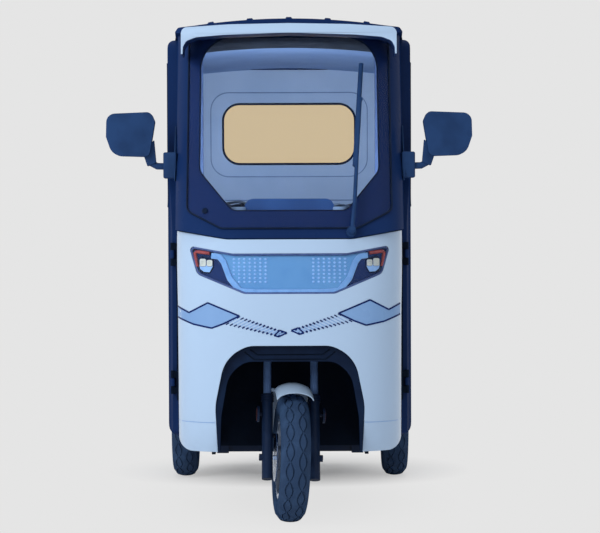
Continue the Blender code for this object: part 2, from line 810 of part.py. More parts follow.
# Nose
def build_fascia(finishes):
    rows = [nose_row(z) for z in FASCIA_ROWS]
    fascia = sheet("front_fascia", rows, FASCIA_THICK, finish=finishes["white"])
    arch = prism("arch_cutter", [filleted(mirrored(ARCH))], "Y", FRONT_Y - 0.1, FRONT_Y + 0.35, helper=True)
    lamp = prism("lamp_cutter", [filleted(mirrored(LAMP))], "Y", FRONT_Y - 0.1, FRONT_Y + 0.30, helper=True)
    view = mirrored([*seam_line(0.0)[::-1], *FASCIA_VIEW])
    keep = prism("fascia_keeper", [filleted(view)], "Y", FRONT_Y - 0.1, WELL_BACK_Y, helper=True)
    low, high = CORNER_SEAM_Z - SEAM_GAP / 2, CORNER_SEAM_Z + SEAM_GAP / 2
    groove_rows = [nose_row(low, grow=0.02), nose_row(high, grow=0.02)]
    groove = sheet("fascia_groove", groove_rows, 0.024, helper=True)
    trim(fascia, keep)
    cut(fascia, arch, lamp, groove)


def build_arch_and_well(finishes):
    outer = filleted(mirrored(grown(ARCH, -0.0006)))
    inner = filleted(mirrored(ARCH_INNER))
    arch_trim = prism("arch_trim", [outer], "Y", FRONT_Y + 0.108, FRONT_Y + 0.170, finishes["plastic"])
    hole = prism("arch_trim_hole", [inner], "Y", FRONT_Y - 0.1, FRONT_Y + 0.35, helper=True)
    feet = box("arch_trim_feet", (-WELL_HALF, FRONT_Y, 0.2), (WELL_HALF, FRONT_Y + 0.2, 0.2435), helper=True)
    cut(arch_trim, hole, feet)
    well = box(
        "wheel_well",
        (-WELL_HALF, FRONT_Y + 0.170 + SEAT_GAP, 0.232),
        (WELL_HALF, WELL_BACK_Y, WELL_TOP_Z),
        finishes["plastic"],
    )
    room = box(
        "wheel_well_room",
        (-WELL_HALF + WELL_WALL, FRONT_Y - 0.1, 0.100),
        (WELL_HALF - WELL_WALL, WELL_BACK_Y - WELL_WALL, WELL_TOP_Z - WELL_WALL),
        helper=True,
    )
    top = STEER_POINT + LEG_TILT @ Vector((0, 0, 0.6))
    bottom = STEER_POINT + LEG_TILT @ Vector((0, 0, 0.3))
    head_hole = rod("head_tube_hole", bottom, top, HEAD_TUBE_RADIUS + 0.003, helper=True)
    cut(well, room, head_hole)


def build_headlamp(finishes):
    heights = (0.740, 0.760, 0.850, 0.910, 0.945)
    rows = [nose_row(z) for z in heights]
    lens = sheet("headlamp_lens", rows, GLASS_THICK, finish=finishes["glass"])
    keep = prism("lens_keeper", [filleted(mirrored(grown(LAMP, -0.0006)))], "Y", FRONT_Y - 0.1, FRONT_Y + 0.30, helper=True)
    trim(lens, keep)
    depth, wall = 0.034, 0.006
    back = sheet(
        "headlamp_housing", rows, depth + wall, -FASCIA_THICK - GLASS_GAP, finishes["lamp"]
    )
    around = prism("housing_keeper", [filleted(mirrored(grown(LAMP, 0.010)))], "Y", FRONT_Y - 0.1, FRONT_Y + 0.30, helper=True)
    trim(back, around)
    pocket = sheet("housing_pocket", rows, depth + 0.012, -FASCIA_THICK + 0.012, helper=True)
    inside = prism("pocket_keeper", [filleted(mirrored(grown(LAMP, -0.0005)))], "Y", FRONT_Y - 0.1, FRONT_Y + 0.30, helper=True)
    trim(pocket, inside)
    cut(back, pocket)


def build_windscreen(finishes):
    rows = screen_rows()
    surround = sheet("windscreen_surround", rows, SURROUND_THICK, finish=finishes["black"])
    clear = prism("clear_cutter", [filleted(mirrored(SCREEN_CLEAR), 6)], "Y", FRONT_Y - 0.1, FRONT_Y + 0.6, helper=True)
    below = filleted(mirrored([*seam_line(SEAM_GAP)[::-1], (SURROUND_HALF + 0.1, 0.5, 0)]))
    seam = prism("seam_cutter", [below], "Y", FRONT_Y - 0.1, FRONT_Y + 0.6, helper=True)
    foot_y = FRAME_FRONT_Y - SEAT_GAP
    high = FRAME_TOP_Z + 0.14
    inside = [(foot_y, 0.5), (foot_y, PILLAR_BEND_Z), (pillar_y(high, foot_y), high), (0.0, high), (0.0, 0.5)]
    half = FRAME_HALF + SEAT_GAP
    frame_room = prism("frame_room", [inside], "X", -half, half, helper=True)
    cut(surround, clear, seam, frame_room)
    glass = sheet(
        "windscreen_glass", rows, GLASS_THICK, GLASS_THICK + GLASS_GAP, finishes["glass"]
    )
    keep = prism("glass_keeper", [filleted(mirrored(SCREEN_GLASS))], "Y", FRONT_Y - 0.1, FRONT_Y + 0.6, helper=True)
    trim(glass, keep)


def screen_point(x, z, lift):
    """A point off the windscreen's surface, and the surface's outward direction there."""
    u = min(abs(x) / SURROUND_HALF, 0.999)
    rest = 1 - u**SCREEN_POWER
    y = screen_y(z) + SCREEN_DEPTH * (1 - rest ** (1 / SCREEN_POWER))
    slope = SCREEN_DEPTH / SURROUND_HALF * u ** (SCREEN_POWER - 1) * rest ** (1 / SCREEN_POWER - 1)
    outward = Vector((math.copysign(slope, x), -1, math.tan(SCREEN_RAKE))).normalized()
    return Vector((x, y, z)) + outward * lift, outward


def build_wiper(finishes):
    # Places on the glass as (x, z), as the wiper stands parked
    pivot, elbow, hook = (0.205, 0.972), (0.2135, 1.060), (0.2370, 1.415)
    tip, heel = (0.2440, 1.543), (0.2185, 1.190)
    blade_points = []
    for i in range(7):
        x = heel[0] + (tip[0] - heel[0]) * i / 6
        z = heel[1] + (tip[1] - heel[1]) * i / 6
        blade_points.append(screen_point(x, z, 0.012)[0])
    blade = tube("wiper", blade_points, 0.0055, finishes["plastic"], sides=2)
    base, outward = screen_point(*pivot, SEAT_GAP)
    post = rod("wiper_post", base, base + outward * 0.034, 0.013, helper=True, steps=16)
    arm = tube(
        "wiper_arm",
        [
            base + outward * 0.028,
            screen_point(*elbow, 0.030)[0],
            screen_point(0.2250, 1.240, 0.027)[0],
            screen_point(*hook, 0.022)[0],
        ],
        0.0065,
        helper=True,
        sides=2,
    )
    low, out = screen_point(*hook, 0.010)
    hinge = rod("wiper_hinge", low, low + out * 0.018, 0.008, helper=True, steps=10)
    join(blade, arm, post, hinge)


# Cab frame, floor and chassis
def build_side_frames(finishes):
    lean_top = pillar_y(FRAME_TOP_Z, FRAME_FRONT_Y)
    outer = [
        (FRAME_FRONT_Y, SILL_Z, 0.0),
        (FRAME_FRONT_Y, PILLAR_BEND_Z, 0.0),
        (lean_top, FRAME_TOP_Z, 0.0),
        (FRAME_BACK_Y, FRAME_TOP_Z, 0.0),
        (FRAME_BACK_Y, SILL_Z, 0.0),
    ]
    bar = FRAME_BAR
    inner = [
        (FRAME_FRONT_Y + bar, SILL_Z + bar, 0.04),
        (FRAME_FRONT_Y + bar, PILLAR_BEND_Z - 0.006, 0.05),
        (lean_top + bar - 0.012, FRAME_TOP_Z - bar, 0.05),
        (FRAME_BACK_Y - bar, FRAME_TOP_Z - bar, 0.06),
        (FRAME_BACK_Y - bar, SILL_Z + bar, 0.06),
    ]
    for word, side in (("left", 1), ("right", -1)):
        ends = sorted((side * FRAME_INNER_X, side * FRAME_HALF))
        prism("side_frame_" + word, [filleted(outer), filleted(inner)], "X", *ends, finishes["steel"])


def build_floor(finishes):
    top, rear_top = FLOOR_Z + FLOOR_THICK, REAR_FLOOR_Z + FLOOR_THICK
    box_front, box_back = RISER_Y + 0.160, BACK_Y - 0.200
    profile = [
        (WELL_BACK_Y + SEAT_GAP, FLOOR_Z, 0),
        (RISER_Y + FLOOR_THICK, FLOOR_Z, 0),
        (RISER_Y + FLOOR_THICK, REAR_FLOOR_Z, 0),
        (box_front + FLOOR_THICK, REAR_FLOOR_Z, 0),
        (box_front + FLOOR_THICK, BENCH_TOP_Z - FLOOR_THICK, 0),
        (box_back - FLOOR_THICK, BENCH_TOP_Z - FLOOR_THICK, 0),
        (box_back - FLOOR_THICK, REAR_FLOOR_Z, 0),
        (REAR_Y - 0.045, REAR_FLOOR_Z, 0),
        (REAR_Y - 0.045, rear_top, 0),
        (box_back, rear_top, 0),
        (box_back, BENCH_TOP_Z, 0.01),
        (box_front, BENCH_TOP_Z, 0.01),
        (box_front, rear_top, 0),
        (RISER_Y, rear_top, 0),
        (RISER_Y, top, 0),
        (WELL_BACK_Y + SEAT_GAP, top, 0),
    ]
    half = FRAME_INNER_X - SEAT_GAP
    floor = prism("floor_pan", [filleted(profile)], "X", -half, half, finishes["plastic"])
    hole = rod("downtube_hole", (0, DOWNTUBE_Y, 0.1), (0, DOWNTUBE_Y, 0.4), 0.024, helper=True)
    cut(floor, hole)


def build_chassis(finishes):
    tall, rear_top = 0.040, REAR_FLOOR_Z - SEAT_GAP
    top = FLOOR_Z - SEAT_GAP
    front, kick, back = WELL_BACK_Y + SEAT_GAP, RISER_Y + FLOOR_THICK + SEAT_GAP, REAR_Y - 0.050
    profile = [
        (front, top - tall, 0),
        (kick + tall, top - tall, 0.02),
        (kick + tall, rear_top - tall, 0),
        (back, rear_top - tall, 0),
        (back, rear_top, 0),
        (kick, rear_top, 0),
        (kick, top, 0),
        (front, top, 0),
    ]
    rail_x, rail_wide = 0.215, 0.040
    pieces = []
    for side in (1, -1):
        ends = sorted((side * rail_x, side * (rail_x + rail_wide)))
        pieces.append(prism(f"rail_{side}", [filleted(profile)], "X", *ends, helper=True))
    half = rail_x + rail_wide / 2
    # Cross members as (front y, bottom z)
    for index, (y, z) in enumerate(((front + 0.015, top - tall), (kick - 0.205, top - tall), (back - 0.060, rear_top - tall))):
        pieces.append(box(f"cross_member_{index}", (-half, y, z + 0.004), (half, y + 0.045, z + tall - 0.002), helper=True))
    down = tube(
        "downtube",
        [
            (0, DOWNTUBE_Y, top - tall / 2),
            (0, DOWNTUBE_Y, 0.640),
            (0, DOWNTUBE_Y - 0.023, 0.672),
            (0, DOWNTUBE_Y - 0.108, 0.688),
        ],
        0.020,
        helper=True,
        sides=3,
    )
    head = turned(
        "head_tube",
        ring_profile(CROWN_TOP + 0.006, HEAD_TUBE_TOP, STEM_RADIUS + BORE_GAP, HEAD_TUBE_RADIUS),
        finishes["steel"],
        steps=24,
    )
    bpy.context.view_layer.update()
    upright = Matrix.Rotation(-math.pi / 2, 4, "Y")
    place = Matrix.Translation(STEER_POINT) @ LEG_TILT.to_4x4()
    head.matrix_world = place @ upright @ head.matrix_world
    bore_low = STEER_POINT + LEG_TILT @ Vector((0, 0, CROWN_TOP + 0.001))
    bore_high = STEER_POINT + LEG_TILT @ Vector((0, 0, HEAD_TUBE_TOP + 0.02))
    bore = rod("head_bore", bore_low, bore_high, STEM_RADIUS + BORE_GAP, helper=True, steps=24)
    head.name = "chassis"
    cut(down, bore)
    join(head, down, *pieces)


def build_rear_axle(finishes):
    x_end = TRACK / 2 - DRUM_DEPTH - MOVING_GAP
    centre = (0, REAR_AXLE_Y, TYRE_RADIUS)
    axle = rod(
        "rear_axle",
        (-x_end, *centre[1:]),
        (x_end, *centre[1:]),
        0.028,
        finishes["steel"],
        steps=24,
    )
    shaft_end = TRACK / 2 + SPOKE_DISC_AT + 0.026
    shaft = rod("shaft", (-shaft_end, *centre[1:]), (shaft_end, *centre[1:]), REAR_SHAFT_RADIUS, helper=True)
    motor = turned(
        "motor_case",
        [(0.10, 0.0), (0.10, 0.05), (0.05, 0.09), (-0.09, 0.09), (-0.12, 0.06), (-0.12, 0.0)],
        helper=True,
        steps=24,
        closed=False,
    )
    bpy.context.view_layer.update()
    motor.matrix_world = Matrix.Translation(centre) @ motor.matrix_world
    arms = []
    for side in (1, -1):
        x = side * 0.235
        arms.append(
            tube(
                f"trailing_arm_{side}",
                [(x, REAR_AXLE_Y, TYRE_RADIUS - 0.010), (x, REAR_AXLE_Y - 0.315, 0.172), (x, REAR_AXLE_Y - 0.400, 0.170)],
                0.016,
                helper=True,
                sides=3,
            )
        )
        arms.append(
            box(
                f"spring_pad_{side}",
                (x - 0.030, REAR_AXLE_Y - 0.030, TYRE_RADIUS + 0.010),
                (x + 0.030, REAR_AXLE_Y + 0.030, TYRE_RADIUS + 0.034),
                helper=True,
            )
        )
    join(axle, shaft, motor, *arms, solver="MANIFOLD")
    spring_low = TYRE_RADIUS + 0.030
    spring_high = REAR_FLOOR_Z - SEAT_GAP - 0.040 - SEAT_GAP
    for word, side in (("left", 1), ("right", -1)):
        x = side * 0.235
        turns = 4
        pitch = (spring_high - spring_low) / turns
        profile = [(spring_low, 0.0)]
        for i in range(turns):
            low = spring_low + i * pitch
            profile += [(low, 0.019), (low + pitch * 0.5, 0.027), (low + pitch * 0.95, 0.019)]
        profile += [(spring_high, 0.019), (spring_high, 0.0)]
        spring = turned("rear_spring_" + word, profile[::-1], helper=True, steps=12, closed=False)
        bpy.context.view_layer.update()
        upright = Matrix.Rotation(-math.pi / 2, 4, "Y")
        spring.matrix_world = Matrix.Translation((x, REAR_AXLE_Y, 0)) @ upright @ spring.matrix_world
        join(axle, spring, solver="MANIFOLD")


# Roof, visor and rear body
def roof_top_z(x, half):
    """The roof falls from its centre line to its shoulders, where it is half wide in all."""
    return ROOF_TOP_Z - ROOF_DROP * (x / (half - ROOF_SHOULDER)) ** 2


def roof_section(half):
    """The roof across the vehicle, as (x, z) all the way round, with its ribs on top."""
    right = []
    for i in range(RIB_COUNT // 2 + 1):
        x = i * RIB_PITCH
        near, far = x - RIB_WIDTH / 2, x + RIB_WIDTH / 2
        if i:
            right += [(near, roof_top_z(near, half)), (near + 0.003, roof_top_z(near, half) + RIB_HEIGHT)]
        else:
            right += [(0.0, ROOF_TOP_Z + RIB_HEIGHT)]
        right += [(far - 0.003, roof_top_z(far, half) + RIB_HEIGHT), (far, roof_top_z(far, half))]
    low = FRAME_TOP_Z + SEAT_GAP
    bend = [
        (right[-1][0], right[-1][1], 0),
        (half - 0.010, ROOF_TOP_Z - ROOF_DROP + 0.001, 0.012),
        (half, low + 0.006, 0.004),
        (half, low + 0.002, 0),
        (half - 0.010, low, 0),
    ]
    right += filleted(bend)[1:]
    return right + [(-x, z) for x, z in reversed(right) if x > 0]


def loft(name, sections, finish):
    """A closed solid through rings of points that all have the same count."""
    mesh = bpy.data.meshes.new(name)
    shape = bmesh.new()
    rings = [[shape.verts.new(point) for point in ring] for ring in sections]
    for first, second in zip(rings, rings[1:]):
        for i in range(len(first)):
            j = (i + 1) % len(first)
            shape.faces.new((first[i], first[j], second[j], second[i]))
    shape.faces.new(rings[0][::-1])
    shape.faces.new(rings[-1])
    bmesh.ops.recalc_face_normals(shape, faces=shape.faces)
    shape.to_mesh(mesh)
    shape.free()
    return add_object(name, mesh, finish)


def build_roof(finishes):
    back = REAR_Y - REAR_LEAN + 0.004
    # Stations along the roof, as (y, half width)
    stations = (
        (ROOF_FRONT_Y, ROOF_FRONT_HALF),
        (ROOF_FRONT_Y + 0.200, ROOF_FRONT_HALF + 0.008),
        (REAR_FRONT_Y - 0.150, ROOF_REAR_HALF - 0.008),
        (REAR_FRONT_Y, ROOF_REAR_HALF),
        (back, ROOF_REAR_HALF),
    )
    rings = [[(x, y, z) for x, z in roof_section(half)] for y, half in stations]
    roof = loft("roof", rings, finishes["black"])
    plan = [
        (ROOF_FRONT_HALF + 0.001, ROOF_FRONT_Y - 0.002, 0.030),
        (ROOF_FRONT_HALF + 0.010, ROOF_FRONT_Y + 0.200, 0.6),
        (ROOF_REAR_HALF + 0.001, REAR_FRONT_Y, 0.6),
        (ROOF_REAR_HALF + 0.001, back - 0.004, 0.12),
    ]
    keep = prism("roof_plan", [filleted(mirrored(plan), 6)], "Z", FRAME_TOP_Z - 0.06, FRAME_TOP_Z + 0.14, helper=True)
    room_top = roof_top_z(0.290, ROOF_FRONT_HALF) - ROOF_SKIN
    room = box(
        "roof_room",
        (-0.290, ROOF_FRONT_Y + 0.045, FRAME_TOP_Z - 0.05),
        (0.290, back - 0.060, room_top),
        helper=True,
    )
    trim(roof, keep)
    cut(roof, room)


def build_visor(finishes):
    half, low = FRAME_HALF + 0.003, FRAME_TOP_Z - 0.084
    front = ROOF_FRONT_Y - 0.150
    outer = [(half, low, 0), (half, FRAME_TOP_Z + 0.0055, 0.022), (0.200, FRAME_TOP_Z + 0.0159, 0.6)]
    outline = filleted([*outer, (0.0, FRAME_TOP_Z + 0.0196, 0), *[(-a, b, r) for a, b, r in reversed(outer)]])
    visor = prism("sun_visor", [outline], "Y", front, ROOF_FRONT_Y - SEAT_GAP, finishes["white"])
    inner = [
        (0.200, FRAME_TOP_Z - 0.0202, 0.5),
        (half - 0.046, FRAME_TOP_Z - 0.0232, 0.04),
        (half - 0.019, FRAME_TOP_Z - 0.0372, 0.02),
        (half - 0.0075, FRAME_TOP_Z - 0.0597, 0.02),
        (half - 0.005, low - 0.01, 0),
    ]
    under = filleted([(0.0, FRAME_TOP_Z - 0.0129, 0), *inner, *[(-a, b, r) for a, b, r in reversed(inner)]])
    hollow = prism("visor_under", [under], "Y", front - 0.05, ROOF_FRONT_Y + 0.10, helper=True)
    room = box(
        "visor_room",
        (-half + 0.020, ROOF_FRONT_Y - 0.030, low - 0.02),
        (half - 0.020, ROOF_FRONT_Y + 0.01, FRAME_TOP_Z + SEAT_GAP),
        helper=True,
    )
    cut(visor, hollow, room)


def quarter_outline(inset):
    """The quarter window's corners as (y, z, radius), moved inwards by the inset."""
    low, high, front = BELT_Z + 0.100 + inset, FRAME_TOP_Z - 0.0997 - inset, REAR_FRONT_Y + 0.104 + inset
    return [
        (front, low, 0.05),
        (front, high, 0.05),
        (BACK_Y - 0.250 - inset, high, 0.07),
        (BACK_Y - 0.210 - inset, low, 0.05),
    ]


def build_rear_body(finishes):
    flange = REAR_HALF - REAR_WALL / 2
    lower_rows = [rear_row(z) for z in (REAR_BOTTOM_Z, BELT_Z - SEAM_GAP)]
    lower = sheet("rear_body", lower_rows, REAR_WALL, finish=finishes["white"], faces_back=True)
    upper_rows = [rear_row(z) for z in (BELT_Z, FRAME_TOP_Z)]
    upper = sheet("rear_cabin", upper_rows, REAR_WALL, finish=finishes["black"], faces_back=True)
    for word, side in (("left", 1), ("right", -1)):
        near = side * (FRAME_HALF + SEAT_GAP)
        far = side * flange
        x0, x1 = sorted((near, far))
        y0, y1 = REAR_FRONT_Y, REAR_FRONT_Y + REAR_WALL
        join(lower, box("post_low_" + word, (x0, y0, REAR_BOTTOM_Z), (x1, y1, BELT_Z - SEAM_GAP), helper=True))
        join(upper, box("post_high_" + word, (x0, y0, BELT_Z), (x1, y1, FRAME_TOP_Z), helper=True))
    arch_outline = circle(REAR_AXLE_Y, TYRE_RADIUS, WHEEL_ARCH_RADIUS, 40)
    arches = prism("rear_arch_cutter", [arch_outline], "X", -0.6, 0.6, helper=True)
    cut(lower, arches)
    window = prism("rear_window_cutter", [filleted(mirrored(REAR_WINDOW), 6)], "Y", REAR_Y - 0.27, REAR_Y + 0.23, helper=True)
    quarter = quarter_outline(0.0)
    sides = prism("quarter_cutter", [filleted(quarter)], "X", -0.6, 0.6, helper=True)
    cut(upper, window, sides)
    set_in = -0.010
    pane = sheet("rear_window_glass", upper_rows, GLASS_THICK, set_in, finishes["glass"], faces_back=True)
    shrunk = filleted(mirrored(grown(REAR_WINDOW, -0.0005)), 6)
    trim(pane, prism("rear_pane_keeper", [shrunk], "Y", REAR_Y - 0.27, REAR_Y + 0.23, helper=True))
    small = quarter_outline(0.0005)
    for word, side in (("left", 1), ("right", -1)):
        x0, x1 = sorted((side * (REAR_HALF - 0.014), side * (REAR_HALF - 0.010)))
        prism("quarter_glass_" + word, [filleted(small)], "X", x0, x1, finishes["glass"])


def build_rear_trim(finishes):
    bumper_rows = [rear_row(z) for z in (0.315, 0.430)]
    lift = BUMPER_THICK - 0.001
    bumper = sheet("rear_bumper", bumper_rows, BUMPER_THICK, lift, finishes["plastic"], faces_back=True)
    wide = REAR_HALF - 0.025
    trim(bumper, box("bumper_keeper", (-wide, REAR_Y - 0.140, 0.25), (wide, REAR_Y + 0.13, 0.50), helper=True))
    room_rows = [rear_row(z) for z in (0.200, 0.600)]
    cut(bumper, sheet("bumper_room", room_rows, 0.060, SEAT_GAP, helper=True, faces_back=True))
    lamp_thick = 0.016
    for word, side in (("left", 1), ("right", -1)):
        rows = [rear_row(z) for z in (0.740, 0.960)]
        lamp = sheet(
            "tail_lamp_" + word, rows, lamp_thick, lamp_thick + SEAT_GAP, finishes["red"], faces_back=True
        )
        x0, x1 = sorted((side * (REAR_HALF - 0.150), side * (REAR_HALF + 0.15)))
        low, high = (x0, REAR_Y - 0.110, 0.70), (x1, REAR_Y + 0.13, 1.00)
        trim(lamp, box("tail_lamp_keeper_" + word, low, high, helper=True))


def build_plate_holder(finishes):
    """A flat blank holder on the rear wall for the number plate."""
    face_y = REAR_Y + PLATE_STAND_OFF
    low, high = (-PLATE_HALF, REAR_Y - 0.020, PLATE_LOW_Z), (PLATE_HALF, face_y, PLATE_LOW_Z + PLATE_HEIGHT)
    holder = box("plate_holder", low, high, finishes["plastic"])
    rows = [rear_row(z) for z in (0.300, 0.800)]
    cut(holder, sheet("plate_room", rows, 0.060, SEAT_GAP, helper=True, faces_back=True))


def build_wheel_houses(finishes):
    inner_x = FRAME_INNER_X + 0.002
    outer_x = REAR_HALF - REAR_WALL - SEAT_GAP
    low, high = math.radians(12), math.radians(168)
    outer_r, inner_r = WHEEL_ARCH_RADIUS, WHEEL_ARCH_RADIUS - 0.008
    steps = 16
    angles = [low + (high - low) * i / steps for i in range(steps + 1)]
    rim = [(REAR_AXLE_Y + outer_r * math.cos(t), TYRE_RADIUS + outer_r * math.sin(t)) for t in angles]
    back = [(REAR_AXLE_Y + inner_r * math.cos(t), TYRE_RADIUS + inner_r * math.sin(t)) for t in angles]
    for word, side in (("left", 1), ("right", -1)):
        band = sorted((side * inner_x, side * outer_x))
        wall = sorted((side * inner_x, side * (inner_x + 0.008)))
        house = prism("wheel_house_" + word, [rim + back[::-1]], "X", *band, finishes["plastic"])
        join(house, prism("house_wall_" + word, [rim], "X", *wall, helper=True))


# Interior
def build_interior(finishes):
    front = FRONT_Y + 0.175
    profile = [
        (front, 0.958, 0),
        (front, 0.978, 0.01),
        (front + 0.195, 1.004, 0.02),
        (front + 0.210, 0.985, 0.01),
        (front + 0.210, 0.700, 0.02),
        (front + 0.165, 0.660, 0),
        (front + 0.150, 0.660, 0),
        (front + 0.150, 0.958, 0),
    ]
    dash = prism("dashboard", [filleted(profile)], "X", -FRAME_HALF, FRAME_HALF, finishes["plastic"])
    plan = plan_curve(FRAME_INNER_X - SEAT_GAP, 0.130, 3.0, front, WELL_BACK_Y)
    keep = prism("dash_plan", [plan], "Z", 0.5, 1.2, helper=True)
    hump = filleted(mirrored([(0.149, 1.088, 0.03), (0.160, 0.990, 0)]), 5)
    cluster = prism("instrument_cluster", [hump], "Y", front + 0.110, front + 0.175, helper=True)
    trim(dash, keep)
    join(dash, cluster)
    head_low = STEER_POINT + LEG_TILT @ Vector((0, 0, 0.3))
    head_high = STEER_POINT + LEG_TILT @ Vector((0, 0, 1.0))
    cut(dash, rod("column_clearance", head_low, head_high, HEAD_TUBE_RADIUS + 0.008, helper=True))
    floor_top = FLOOR_Z + FLOOR_THICK + SEAT_GAP
    seat_back, bench_back, bench_half = RISER_Y - 0.160, BACK_Y - 0.210, FRAME_INNER_X - 0.011
    # Boxes and cushions as (name, half width, front y, back y, bottom z, top z, corner radius, finish)
    blocks = (
        ("battery_box", 0.205, seat_back - 0.390, seat_back + 0.015, floor_top, SEAT_BASE_Z, 0.020, "plastic"),
        ("driver_cushion", 0.225, seat_back - 0.425, seat_back, SEAT_BASE_Z + SEAT_GAP, SEAT_BASE_Z + 0.095, 0.035, "seat"),
        ("bench_cushion", bench_half, bench_back - 0.410, bench_back, BENCH_TOP_Z + SEAT_GAP, BENCH_TOP_Z + 0.090, 0.035, "seat"),
    )
    for name, half, y0, y1, z0, z1, radius, finish in blocks:
        side = [(y0, z0, 0), (y1, z0, 0), (y1, z1, radius), (y0, z1, radius)]
        prism(name, [filleted(side)], "X", -half, half, finishes[finish])
    # Backrests as (name, half width, y of the foot, corners of the side view from there)
    rests = (
        (
            "driver_backrest",
            0.175,
            seat_back + SEAT_GAP,
            [(0.0, 0.600, 0), (0.0577, 0.600, 0), (0.1297, 1.085, 0.02), (0.0847, 1.085, 0.02)],
        ),
        (
            "bench_backrest",
            bench_half,
            bench_back + SEAT_GAP,
            [(0.0, 0.640, 0), (0.0697, 0.640, 0), (0.0947, 1.110, 0.02), (0.0347, 1.110, 0.02)],
        ),
    )
    for name, half, foot_y, side in rests:
        corners = [(foot_y + y, z, radius) for y, z, radius in side]
        prism(name, [filleted(corners)], "X", -half, half, finishes["seat"])


# Doors
def build_doors(finishes):
    # Stations along the door, as (how far its skin stands beyond the frame, y)
    stations = (
        (0.0430, DOOR_FRONT_Y),
        (0.0575, DOOR_FRONT_Y + 0.065),
        (0.0680, DOOR_FRONT_Y + 0.210),
        (0.0775, DOOR_FRONT_Y + 0.390),
        (0.0840, DOOR_FRONT_Y + 0.590),
        (0.0870, DOOR_BACK_Y - 0.145),
        (0.0870, DOOR_BACK_Y),
    )
    top_front = pillar_y(DOOR_TOP_Z, DOOR_FRONT_Y)
    window_low, window_high = BELT_Z + 0.070, DOOR_TOP_Z - 0.080
    side_view = [
        (DOOR_FRONT_Y, DOOR_BOTTOM_Z, 0.03),
        (DOOR_FRONT_Y, PILLAR_BEND_Z, 0),
        (top_front, DOOR_TOP_Z, 0.05),
        (DOOR_BACK_Y, DOOR_TOP_Z, 0.05),
        (DOOR_BACK_Y, DOOR_BOTTOM_Z, 0.05),
    ]
    window = [
        (pillar_y(window_low, DOOR_FRONT_Y) + 0.060, window_low, 0.04),
        (pillar_y(window_high, DOOR_FRONT_Y) + 0.060, window_high, 0.05),
        (DOOR_BACK_Y - 0.060, window_high, 0.05),
        (DOOR_BACK_Y - 0.060, window_low, 0.04),
    ]
    middle_y, middle_z = (DOOR_FRONT_Y + DOOR_BACK_Y) / 2, (window_low + window_high) / 2
    pane = []
    for y, z, radius in window:
        pane.append((y + math.copysign(0.0005, middle_y - y), z + math.copysign(0.0005, middle_z - z), radius))
    for word, side in (("left", 1), ("right", -1)):
        rings = []
        for beyond, y in stations:
            section = [
                (side * DOOR_INNER_X, DOOR_BOTTOM_Z, 0),
                (side * (FRAME_HALF + beyond), DOOR_BOTTOM_Z, DOOR_EDGE_ROUND),
                (side * (FRAME_HALF + beyond), DOOR_TOP_Z, DOOR_EDGE_ROUND),
                (side * DOOR_INNER_X, DOOR_TOP_Z, 0),
            ]
            rings.append([(x, y, z) for x, z in filleted(section, 5)])
        door = loft("door_" + word, rings, finishes["black"])
        view = prism("door_side_view_" + word, [filleted(side_view)], "X", -0.6, 0.6, helper=True)
        hole = prism("door_window_" + word, [filleted(window)], "X", -0.6, 0.6, helper=True)
        trim(door, view)
        cut(door, hole)
        x0, x1 = sorted((side * DOOR_GLASS_X, side * (DOOR_GLASS_X + GLASS_THICK)))
        glass = prism("door_glass_" + word, [filleted(pane)], "X", x0, x1, finishes["glass"])
        helpers = [view, hole, *build_hinges(word, side, door, finishes)]
        swing = empty("door_hinge_" + word, Matrix.Translation((side * HINGE_X, HINGE_Y, 0.68)))
        for piece in (door, glass, *helpers):
            hold(piece, swing)


def build_hinges(word, side, door, finishes):
    """Two hinges: the outer knuckles stand on a strip on the nose, the middle one on the door."""
    outer = FASCIA_HALF + FASCIA_FLARE + 0.0045
    x0, x1 = sorted((side * (FASCIA_HALF - 0.004), side * outer))
    strip = box(
        "hinge_strip_" + word,
        (x0, HINGE_Y - 0.040, HINGE_HEIGHTS[0] - 0.060),
        (x1, HINGE_Y - 0.003, HINGE_HEIGHTS[1] + 0.040),
        finishes["steel"],
    )
    helpers = []
    for index, z in enumerate(HINGE_HEIGHTS):
        for spot in (-1, 1):
            near = z + spot * (KNUCKLE_HEIGHT / 2 + KNUCKLE_GAP)
            far = near + spot * KNUCKLE_HEIGHT
            low, high = sorted((near, far))
            knuckle = rod(
                f"knuckle_{word}_{index}_{spot}",
                (side * HINGE_X, HINGE_Y, low),
                (side * HINGE_X, HINGE_Y, high),
                KNUCKLE_RADIUS,
                helper=True,
                steps=14,
            )
            leaf_x = sorted((side * (outer - 0.002), side * (HINGE_X - 0.002)))
            leaf = box(
                f"leaf_{word}_{index}_{spot}",
                (leaf_x[0], HINGE_Y - 0.011, low + 0.002),
                (leaf_x[1], HINGE_Y - 0.003, high - 0.002),
                helper=True,
            )
            join(strip, leaf, knuckle)
        middle = rod(
            f"door_knuckle_{word}_{index}",
            (side * HINGE_X, HINGE_Y, z - KNUCKLE_HEIGHT / 2),
            (side * HINGE_X, HINGE_Y, z + KNUCKLE_HEIGHT / 2),
            KNUCKLE_RADIUS,
            helper=True,
            steps=14,
        )
        arm_x = sorted((side * (HINGE_X - 0.005), side * (HINGE_X + 0.001)))
        arm = box(
            f"door_leaf_{word}_{index}",
            (arm_x[0], HINGE_Y + 0.003, z - KNUCKLE_HEIGHT / 2 + 0.002),
            (arm_x[1], DOOR_FRONT_Y + 0.012, z + KNUCKLE_HEIGHT / 2 - 0.002),
            helper=True,
        )
        join(door, arm, middle)
        helpers += [arm, middle]
    panel_rows = [nose_row(z) for z in FASCIA_ROWS]
    cut(strip, sheet("strip_seat_" + word, panel_rows, 0.060, SEAT_GAP, helper=True))
    return helpers


